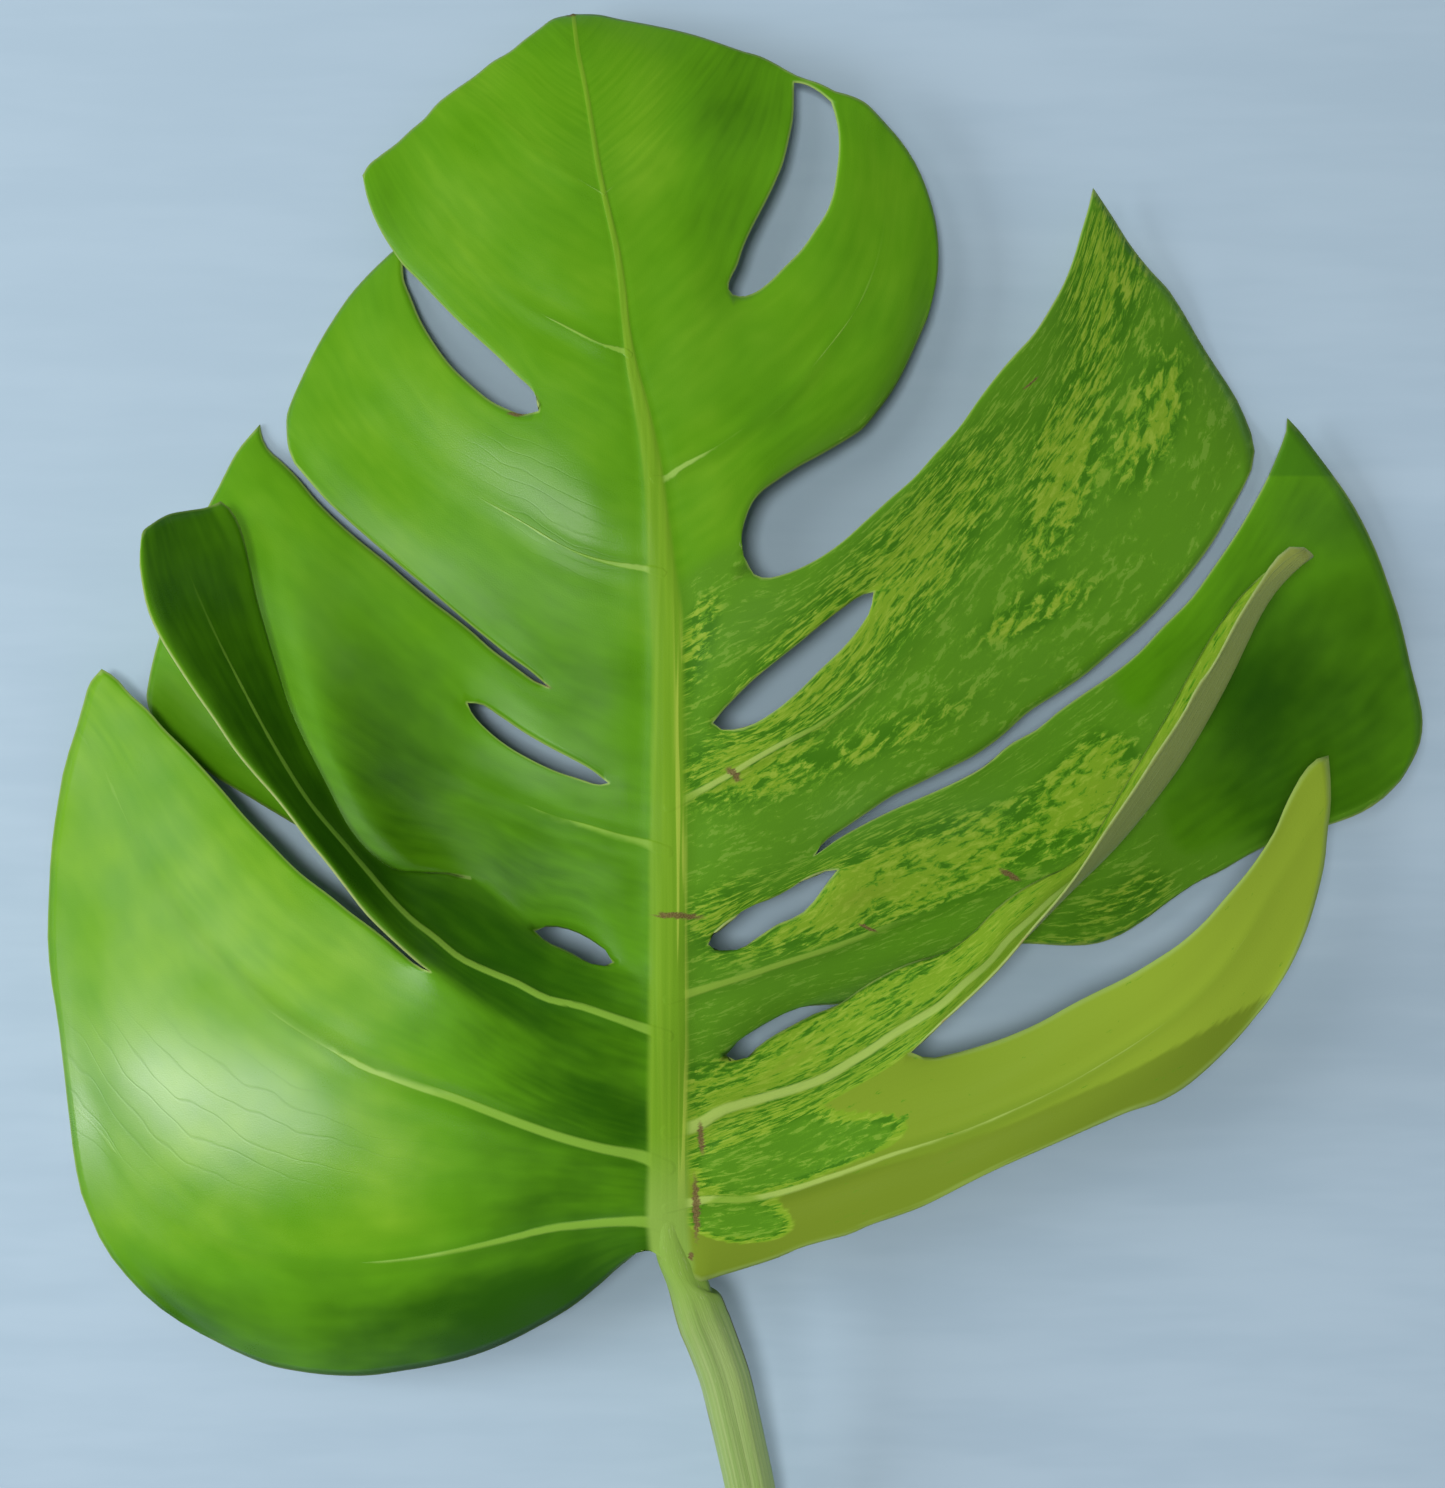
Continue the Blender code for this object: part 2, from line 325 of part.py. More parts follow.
def build_rib(sheet, side, col, start, parts, margin, opens=None):
    """One rib from the midrib to the margin: its near and far row of points."""
    sp = sheet.p[start]
    half = midrib_half(sp[1]) * 1.15
    lines, q = [], tuple(sp)
    for n, part in enumerate(parts):
        if part[0] == ONE:
            pts = [q] + part[1]
            if margin is not None and n == len(parts) - 1:
                pts = pts[:-1] + [tuple(margin)]
            lines.append((Line(pts),))
            q = pts[-1]
        else:
            a, b = part[1], part[2]
            qa, qb = (q if isinstance(q, tuple) else q)[:], q
            if isinstance(q, list):
                qa, qb = q
            lines.append((Line([qa] + a), Line([qb] + b)))
            q = a[-1] if a[-1] == b[-1] else [a[-1], b[-1]]
    length = [np.mean([li.length for li in ls]) for ls in lines]
    total, cuts, run = sum(length), [0], 0.0
    for n, part_len in enumerate(length[:-1]):
        run += part_len
        k = 2 + (run - half) / (total - half) * (ROWS - 2)
        cuts.append(int(max(round(k), cuts[-1] + (2 if parts[n][0] == TWO else 1), 3 if n == 0 else 0)))
    if opens is not None:
        cuts[1] = opens
    if len(parts) > 1 and parts[-1][0] == TWO and len(parts[-1][1]) == 1:
        cuts[-1] = ROWS - 1
    cuts.append(ROWS)
    A, B = [start] + [None] * ROWS, [start] + [None] * ROWS
    soft = 0.6
    for n, ls in enumerate(lines):
        k0, k1 = cuts[n], cuts[n + 1]
        if n == 0:
            f2 = half / ls[0].length
            f = np.concatenate([[0, f2 * 0.5, f2], f2 + (1 - f2) * np.arange(1, k1 - 1) / max(k1 - 2, 1)])[: k1 + 1]
            f[-1] = 1
        else:
            f = np.linspace(0, 1, k1 - k0 + 1)
        last = n == len(lines) - 1
        joined_end = not last and lines[n][0].p[-1][:2].tolist() == lines[n][-1].p[-1][:2].tolist()
        for li, ids in zip(ls if len(ls) == 2 else (ls[0], ls[0]), (A, B)):
            pts = li.at(f)
            for k in range(k0 + 1, k1 + 1):
                if len(ls) == 1 and ids is B:
                    ids[k] = A[k]
                    continue
                if k == k1 and len(ls) == 2 and joined_end and ids is B:
                    ids[k] = A[k]
                    continue
                edge = len(ls) == 2 or (last and k == k1)
                ids[k] = sheet.add(pts[k - k0], col, k, side, 1.0 if edge else soft)
        if len(ls) == 2:
            sheet.trace(A[k0:k1 + 1], ls[0], f)
            sheet.trace(B[k0:k1 + 1], ls[1], f)
        if len(ls) == 1 and n + 1 < len(lines) and len(lines[n + 1]) == 2:
            sheet.hold[A[k1]] = 1.0
    return A, B, lines


def fill_sector(sheet, side, ca, cb, near, far, mids, outer):
    """A Coons patch between two ribs; returns the columns, ribs included."""
    n = cb - ca
    PA = np.array([sheet.p[i] for i in near])
    PB = np.array([sheet.p[i] for i in far])
    PM = np.array([sheet.p[i] for i in mids])
    la = np.concatenate([[0], np.cumsum(np.linalg.norm(np.diff(PA, axis=0), axis=1))])
    lb = np.concatenate([[0], np.cumsum(np.linalg.norm(np.diff(PB, axis=0), axis=1))])
    t = (la / la[-1] + lb / lb[-1]) / 2
    cols = [near]
    for c in range(1, n):
        s = c / n
        ids = [mids[c]]
        for k in range(1, ROWS + 1):
            p = ((1 - s) * PA[k] + s * PB[k] + (1 - t[k]) * PM[c] + t[k] * outer[c]
                 - ((1 - s) * (1 - t[k]) * PA[0] + s * (1 - t[k]) * PB[0] + (1 - s) * t[k] * PA[-1] + s * t[k] * PB[-1]))
            ids.append(sheet.add(p, ca + c, k, side, 1.0 if k == ROWS else 0.0))
        cols.append(ids)
    cols.append(far)
    for c in range(n):
        a, b = cols[c], cols[c + 1]
        for k in range(ROWS):
            f = (a[k], b[k], b[k + 1], a[k + 1]) if side < 0 else (a[k], a[k + 1], b[k + 1], b[k])
            sheet.faces.append(f)
    return cols


def build_sheet():
    sheet = Sheet()
    mid = Line(MIDRIB)
    fr = np.linspace(0, 1, 4000)
    down = mid.at(fr)[:, 1]
    ncol = COLUMNS[-1][0]
    spots = np.interp(np.arange(ncol + 1), *zip(*COLUMNS))
    mfrac = np.interp(-spots, -down, fr)
    mids = [sheet.add(p, c, 0, 0, 1.0) for c, p in enumerate(mid.at(mfrac))]
    caps = []
    for side, ribs, margins in ((-1, LEFT, LEFT_MARGINS), (1, RIGHT, RIGHT_MARGINS)):
        rim = {}
        for names, pts in margins:
            line = Line(pts)
            for i, name in enumerate(names):
                if i == 0:
                    f = 0.0
                elif i == len(names) - 1:
                    f = 1.0
                else:
                    parts = next(r for r in ribs if r[0] == name)[2]
                    f = line.nearest(parts[-1][1][-1])
                rim[name, names[0]] = (line, f)
        built = {}
        for name, col, parts in ribs:
            on = [v for (nm, first), v in rim.items() if nm == name and 0 < v[1] < 1]
            margin = on[0][0].at(on[0][1]) if on else None
            built[name] = (col,) + build_rib(sheet, side, col, mids[col], parts, margin,
                                              EARLY.get((name, side)))
        # the base margin is itself an edge of the sheet
        col, A, B, lines = built["base"]
        f = [lines[0][0].nearest(sheet.p[i]) for i in A]
        f[0], f[-1] = 0.0, 1.0
        sheet.trace(A, lines[0][0], f)
        for i in A:
            sheet.hold[i] = 1.0
        order = [r[0] for r in ribs]
        for names, _ in margins:
            for a, b in zip(names[:-1], names[1:]):
                line, fa = rim[a, names[0]]
                fb = rim[b, names[0]][1]
                if b == "apex":
                    caps.append((side, line, fa, fb, built[a][2]))
                    continue
                ca, cb = built[a][0], built[b][0]
                fs = np.linspace(fa, fb, cb - ca + 1)
                cols = fill_sector(sheet, side, ca, cb, built[a][2], built[b][1], mids[ca:cb + 1], line.at(fs))
                sheet.trace([c[ROWS] for c in cols], line, fs)
        if "top_hole" in order:
            col, A, B, lines = built["top_hole"]
            inner, outer = Line(BRIDGE[0]), Line(BRIDGE[1])
            fs = np.linspace(0, 1, 4)
            rows = [[A[ROWS - 1]], [A[ROWS]]]
            for k, line in ((0, inner), (1, outer)):
                for p in line.at(fs)[1:-1]:
                    rows[k].append(sheet.add(p, col, ROWS - 1 + k, side, 1.0))
            rows[0].append(B[ROWS - 1])
            rows[1].append(B[ROWS])
            sheet.trace(rows[0], inner, fs)
            sheet.trace(rows[1], outer, fs)
            for c in range(3):
                sheet.faces.append((rows[0][c], rows[1][c], rows[1][c + 1], rows[0][c + 1]))
            for i in (A[ROWS - 1], B[ROWS - 1]):
                sheet.hold[i] = 1.0
            # the rib's last step lies inside the sheet now, between the lobe and the bridge
            for ids in (A, B):
                sheet.edge.pop((min(ids[ROWS - 1:]), max(ids[ROWS - 1:])), None)
    # the tip: a square patch between the last rib on each side, with the midrib on its diagonal
    (_, lm, la, lb, L), (_, rm, ra, rb, R) = caps
    top = mid.at(np.linspace(mfrac[-1], 1, ROWS + 1))
    G = [[None] * (ROWS + 1) for _ in range(ROWS + 1)]
    for k in range(ROWS + 1):
        G[k][0], G[0][k] = L[k], R[k]
    lf, rf = np.linspace(la, lb, ROWS + 1), np.linspace(ra, rb, ROWS + 1)
    lp, rp = lm.at(lf), rm.at(rf)
    apex = sheet.add(lm.at(1.0), ncol + ROWS, 0, 0, 1.0)
    G[ROWS][ROWS] = apex
    for k in range(1, ROWS):
        G[ROWS][k] = sheet.add(lp[k], ncol + k, ROWS - k, -1, 1.0)
        G[k][ROWS] = sheet.add(rp[k], ncol + k, ROWS - k, 1, 1.0)
        G[k][k] = sheet.add(top[k], ncol + k, 0, 0, 1.0)
    sides = []
    for ids in (L, R):
        P = np.array([sheet.p[i] for i in ids])
        s = np.concatenate([[0], np.cumsum(np.linalg.norm(np.diff(P, axis=0), axis=1))])
        sides.append((P, s / s[-1], s[-1]))
    for d in range(1, ROWS):
        for side, (P, s, length) in zip((-1, 1), sides):
            n = ROWS - d
            D = top[d]
            O = lp[d] if side < 0 else rp[d]
            reach = np.linalg.norm(O - D) / max(length, 1e-6)
            for r in range(1, n):
                kk = r / n * ROWS
                f = np.interp(kk, np.arange(ROWS + 1), s)
                shape = np.array([np.interp(kk, np.arange(ROWS + 1), P[:, j]) for j in range(3)])
                bulge = (shape - (P[0] + (P[-1] - P[0]) * f)) * reach
                p = D + (O - D) * f + bulge
                i, j = (d + r, d) if side < 0 else (d, d + r)
                G[i][j] = sheet.add(p, ncol + d, r, side, 0.0)
    for i in range(ROWS):
        for j in range(ROWS):
            sheet.faces.append((G[i][j], G[i][j + 1], G[i + 1][j + 1], G[i + 1][j]))
    sheet.trace([G[ROWS][k] for k in range(ROWS + 1)], lm, lf)
    sheet.trace([G[k][ROWS] for k in range(ROWS + 1)], rm, rf)
    return sheet


def relax_heights(sheet):
    """Bend the sheet like a thin plate between its margins, veins and midrib."""
    P = np.array(sheet.p)
    n = len(P)
    hold = np.array(sheet.hold)
    near = [set() for _ in range(n)]
    count = {}
    for f in sheet.faces:
        for a, b in zip(f, f[1:] + f[:1]):
            near[a].add(b)
            near[b].add(a)
            e = (min(a, b), max(a, b))
            count[e] = count.get(e, 0) + 1
    rim = set()
    for (a, b), c in count.items():
        if c == 1:
            rim |= {a, b}
    Q = P * [1, 1, 0.001 / UNIT]
    rows = np.zeros((n, n))
    for v in range(n):
        if v in rim:
            continue
        ids = sorted(near[v])
        h = np.maximum(np.linalg.norm(Q[ids] - Q[v], axis=1), 1.0)
        w = 1.0 / (h * h.mean()) * 900.0
        rows[v, ids] = w
        rows[v, v] = -w.sum()
    free = np.array([i for i in range(n) if hold[i] < 1.0 and i not in rim])
    fixed = np.array([i for i in range(n) if not (hold[i] < 1.0 and i not in rim)])
    z = P[:, 2].copy()
    weight = np.where(hold[free] > 0, 0.35, 0.02)
    M = rows[:, free]
    rhs = -rows[:, fixed] @ z[fixed]
    lhs = M.T @ M + np.diag(weight**2)
    z[free] = np.linalg.solve(lhs, M.T @ rhs + weight**2 * z[free])
    for i, v in enumerate(z):
        sheet.p[i][2] = v
    return sorted(rim)


# ---- from the plan to metres ----------------------------------------------------
def world(p):
    p = np.asarray(p, float)
    z = p[..., 2] + LIFT_MM
    k = UNIT * (EYE_Z - z) / (EYE_Z - REF_Z)
    x = (p[..., 0] - PLAN_MID[0]) * k + CENTRE[0]
    y = -(p[..., 1] - PLAN_MID[1]) * k + CENTRE[1]
    return np.stack([x, y, z * 0.001], axis=-1)


def vertex_normals(P, faces):
    F = np.array(faces)
    d1, d2 = P[F[:, 2]] - P[F[:, 0]], P[F[:, 3]] - P[F[:, 1]]
    fn = np.cross(d1, d2)
    N = np.zeros_like(P)
    for k in range(4):
        np.add.at(N, F[:, k], fn)
    return N / np.maximum(np.linalg.norm(N, axis=1, keepdims=True), 1e-12)


def midrib_distance(P, mid_line):
    """Distance in plan from each point to the midrib."""
    q = mid_line.at(np.linspace(0, 1, 700))[:, :2]
    d = np.linalg.norm(P[:, None, :2] - q[None], axis=2)
    return d.min(axis=1)


def make_blade(material):
    sheet = build_sheet()
    relax_heights(sheet)
    plan = np.array(sheet.p)
    top = world(plan)
    N = vertex_normals(top, sheet.faces)
    dist = midrib_distance(plan, Line(MIDRIB))
    half = midrib_half(plan[:, 1]) * 1.2
    depth = np.interp(plan[:, 1], *zip(*MIDRIB_DEPTH))
    ridge = depth * np.sqrt(np.clip(1 - (dist / half) ** 2, 0, 1))
    low = top - N * ((BLADE_MM + ridge) * 0.001)[:, None]
    low[:, 2] = np.maximum(low[:, 2], 0.0)
    top[:, 2] = np.maximum(top[:, 2], 0.00055)
    bm = bmesh.new()
    vt = [bm.verts.new(p) for p in top]
    vb = [bm.verts.new(p) for p in low]
    count = {}
    for f in sheet.faces:
        bm.faces.new([vt[i] for i in f])
        bm.faces.new([vb[i] for i in reversed(f)])
        for a, b in zip(f, f[1:] + f[:1]):
            count[a, b] = count.get((a, b), 0) + 1
    for a, b in count:
        if (b, a) not in count:
            bm.faces.new([vt[b], vt[a], vb[a], vb[b]])
    bmesh.ops.recalc_face_normals(bm, faces=bm.faces)
    return finish_object("leaf_blade", bm, material)


def make_stalk(material):
    """A tube along the stalk's axis, cut slanting at the blade and square at its end."""
    line = Line(STALK)
    stations, sides = 30, 20
    fr = np.linspace(0, 1, stations)
    centre = line.at(fr)
    along = np.gradient(centre[:, :2], axis=0)
    along /= np.linalg.norm(along, axis=1, keepdims=True)
    run = fr * line.length
    bm = bmesh.new()
    rings = []
    for i in range(stations):
        t = along[i]
        square = np.array([-t[1], t[0]]) * -1.0          # to the right of the axis
        slant = np.array([0.841, 0.541]) * 1.19
        w = np.clip(1 - run[i] / 62.0, 0, 1) ** 1.2
        across = square * (1 - w) + slant * w
        c = world(centre[i])
        c2 = world(centre[i] + np.array([across[0], across[1], 0]) * 10)
        out = (c2 - c) / (np.linalg.norm(world(centre[i] + np.array([10, 0, 0])) - c))
        swell = 1 + 0.05 * math.exp(-((run[i] - 35) / 40.0) ** 2)
        ring = []
        for k in range(sides):
            th = math.radians(-90 + 9 + 360.0 / sides * k)
            a, b = math.cos(th), math.sin(th)
            channel = 0.45 * math.exp(-(math.atan2(a, max(b, 1e-3)) / 0.33) ** 2) if b > 0 else 0.0
            x = a * STALK_A_MM * swell * 0.001
            z = (b * STALK_B_MM * swell - channel) * 0.001
            p = c + out * x + np.array([0, 0, z - LIFT_MM * 0.001])
            p[2] = max(p[2], 0.0)
            ring.append(bm.verts.new(p))
        rings.append(ring)
    for r0, r1 in zip(rings[:-1], rings[1:]):
        for k in range(sides):
            m = (k + 1) % sides
            bm.faces.new([r0[k], r1[k], r1[m], r0[m]])
    for ring, flip in ((rings[0], False), (rings[-1], True)):
        mid = bm.verts.new(np.mean([v.co for v in ring], axis=0))
        for k in range(sides):
            m = (k + 1) % sides
            bm.faces.new([ring[k], ring[m], mid] if not flip else [ring[m], ring[k], mid])
    bmesh.ops.recalc_face_normals(bm, faces=bm.faces)
    return finish_object("petiole", bm, material)


def finish_object(name, bm, material):
    mesh = bpy.data.meshes.new(name)
    bmesh.ops.triangulate(bm, faces=bm.faces, quad_method="BEAUTY")
    bm.to_mesh(mesh)
    bm.free()
    mesh.materials.append(material)
    mesh.shade_smooth()
    mesh.set_sharp_from_angle(angle=math.radians(50))
    ob = bpy.data.objects.new(name, mesh)
    bpy.context.scene.collection.objects.link(ob)
    return ob


def plain_material(name, colour, roughness):
    mat = bpy.data.materials.new(name)
    mat.use_nodes = True
    shader = mat.node_tree.nodes["Principled BSDF"]
    shader.inputs["Base Color"].default_value = (*colour, 1)
    shader.inputs["Roughness"].default_value = roughness
    shader.inputs["Metallic"].default_value = 0.0
    return mat


def main():
    for ob in list(bpy.data.objects):
        bpy.data.objects.remove(ob, do_unlink=True)
    blade = make_blade(plain_material("blade_green", (0.09, 0.27, 0.02), 0.42))
    stalk = make_stalk(plain_material("stalk_green", (0.24, 0.38, 0.10), 0.5))
    leaf = bpy.data.objects.new("leaf", None)
    bpy.context.scene.collection.objects.link(leaf)
    blade.parent = leaf
    stalk.parent = leaf
    return blade, stalk


main()
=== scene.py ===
"""The finished look of a picked, variegated monstera leaf that lies on a pale surface.

The leaf's shape repeats the construction of its solid model: ribs from the midrib
to the margin, along the lateral veins, slits and holes. Here the same grid is
subdivided twice, its edges follow the drawn lines, and relief is added.
"""
import math

import bpy
import numpy as np
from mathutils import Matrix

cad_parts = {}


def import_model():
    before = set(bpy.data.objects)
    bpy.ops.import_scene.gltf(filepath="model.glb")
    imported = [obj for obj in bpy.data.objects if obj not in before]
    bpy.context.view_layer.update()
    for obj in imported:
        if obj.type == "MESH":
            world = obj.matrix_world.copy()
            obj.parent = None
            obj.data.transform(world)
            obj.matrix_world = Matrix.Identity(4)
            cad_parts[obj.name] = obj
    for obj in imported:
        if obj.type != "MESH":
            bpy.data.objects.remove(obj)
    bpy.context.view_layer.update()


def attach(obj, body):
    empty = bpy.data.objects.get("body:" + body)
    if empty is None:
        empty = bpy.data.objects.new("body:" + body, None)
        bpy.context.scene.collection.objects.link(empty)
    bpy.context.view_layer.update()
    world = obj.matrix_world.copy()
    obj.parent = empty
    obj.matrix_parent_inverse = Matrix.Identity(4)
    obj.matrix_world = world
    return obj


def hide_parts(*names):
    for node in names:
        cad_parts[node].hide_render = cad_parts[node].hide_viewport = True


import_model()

# ---- driving dimensions -------------------------------------------------------
UNIT = 0.00019        # metres for one plan unit at the reference height
REF_Z = 20.0          # mm, the height at which a plan unit measures UNIT
EYE_Z = 620.0         # mm, the height of the eye that the plan is drawn from
PLAN_MID = (722.5, 744.0)
BLADE_MM = 0.65       # thickness of the blade
STALK_A_MM = 4.75     # half width of the stalk
STALK_B_MM = 4.35     # half height of the stalk
LIFT_MM = 0.60        # heights are given for a sheet with no thickness
ROWS = 18             # rows of the grid from the midrib to the margin
CENTRE = (-0.002214, 0.032524)   # metres, moves the middle of the leaf's box over the origin


# ---- smooth lines -------------------------------------------------------------
def fill_heights(s, z):
    """Heights that are left out follow a monotone curve through the given ones."""
    known = [i for i, v in enumerate(z) if v is not None]
    xs, ys = s[known], np.array([z[i] for i in known], float)
    if len(xs) == 1:
        return np.full(len(s), ys[0])
    h, d = np.diff(xs), np.diff(ys) / np.maximum(np.diff(xs), 1e-9)
    m = np.zeros(len(xs))
    m[0], m[-1] = d[0], d[-1]
    for i in range(1, len(xs) - 1):
        if d[i - 1] * d[i] > 0:
            w1, w2 = 2 * h[i] + h[i - 1], h[i] + 2 * h[i - 1]
            m[i] = (w1 + w2) / (w1 / d[i - 1] + w2 / d[i])
    k = np.clip(np.searchsorted(xs, s, side="right") - 1, 0, len(h) - 1)
    t = (s - xs[k]) / h[k]
    return ((2 * t**3 - 3 * t**2 + 1) * ys[k] + (t**3 - 2 * t**2 + t) * h[k] * m[k]
            + (3 * t**2 - 2 * t**3) * ys[k + 1] + (t**3 - t**2) * h[k] * m[k + 1])


class Line:
    """A smooth line through points, read at a fraction of its length."""

    def __init__(self, points):
        uv = np.array([q[:2] for q in points], float)
        s = np.concatenate([[0], np.cumsum(np.maximum(np.linalg.norm(np.diff(uv, axis=0), axis=1), 1e-6))])
        z = fill_heights(s, [q[2] if len(q) > 2 else None for q in points])
        self.p = np.column_stack([uv, z])
        self.s = s
        self.length = s[-1]
        d = np.diff(self.p, axis=0) / np.diff(s)[:, None]
        m = np.empty_like(self.p)
        m[0], m[-1] = d[0], d[-1]
        if len(s) > 2:
            a = (np.diff(s)[1:] / (s[2:] - s[:-2]))[:, None]
            m[1:-1] = a * d[:-1] + (1 - a) * d[1:]
        self.m = m

    def at(self, f):
        x = np.clip(np.asarray(f, float), 0, 1) * self.length
        k = np.clip(np.searchsorted(self.s, x, side="right") - 1, 0, len(self.s) - 2)
        h = (self.s[k + 1] - self.s[k])
        t = ((x - self.s[k]) / h)[..., None]
        h = h[..., None]
        return ((2 * t**3 - 3 * t**2 + 1) * self.p[k] + (t**3 - 2 * t**2 + t) * h * self.m[k]
                + (3 * t**2 - 2 * t**3) * self.p[k + 1] + (t**3 - t**2) * h * self.m[k + 1])

    def nearest(self, q):
        f = np.linspace(0, 1, 800)
        d = np.linalg.norm(self.at(f)[:, :2] - np.asarray(q[:2]), axis=1)
        return float(f[d.argmin()])


# ---- the leaf's lines: (across, down[, height]) --------------------------------
MIDRIB = [(672, 1266, 36.5), (669, 1240), (668, 1150, 35.5), (668, 1050, 34), (668, 950, 32.5),
          (668, 850, 31), (668, 750, 29.5), (668, 690, 28.6), (666, 612, 27.5), (662, 568),
          (658, 525, 26), (654, 481), (648, 441, 24.3), (640, 401), (632, 366, 22.5), (626, 326),
          (622, 286, 20.3), (616, 246), (608, 211, 18), (600, 175, 16.5), (592, 127, 14.5),
          (586, 91, 13), (578, 52, 11), (573, 13, 8)]
# where the grid's columns meet the midrib: column number, place down the midrib
COLUMNS = [(0, 1266), (3, 1228), (4, 1208), (7, 1168), (10, 1132), (12, 1100), (13, 1070),
           (15, 1036), (17, 1000), (18, 985), (19, 960), (22, 900), (24, 852), (25, 808),
           (26, 795), (28, 735), (32, 610), (33, 573), (36, 480), (39, 385), (40, 356), (45, 195)]
# half width of the midrib's band on the upper face, by place down the leaf
MIDRIB_HALF = [(13, 2.0), (175, 2.6), (326, 3.8), (481, 9.5), (612, 14.5), (900, 17), (1240, 19.5), (1300, 21)]
# depth of the midrib below the blade, in mm
MIDRIB_DEPTH = [(13, 0.2), (175, 0.7), (326, 1.3), (481, 2.2), (612, 3.0), (900, 4.6), (1240, 6.6), (1300, 6.8)]

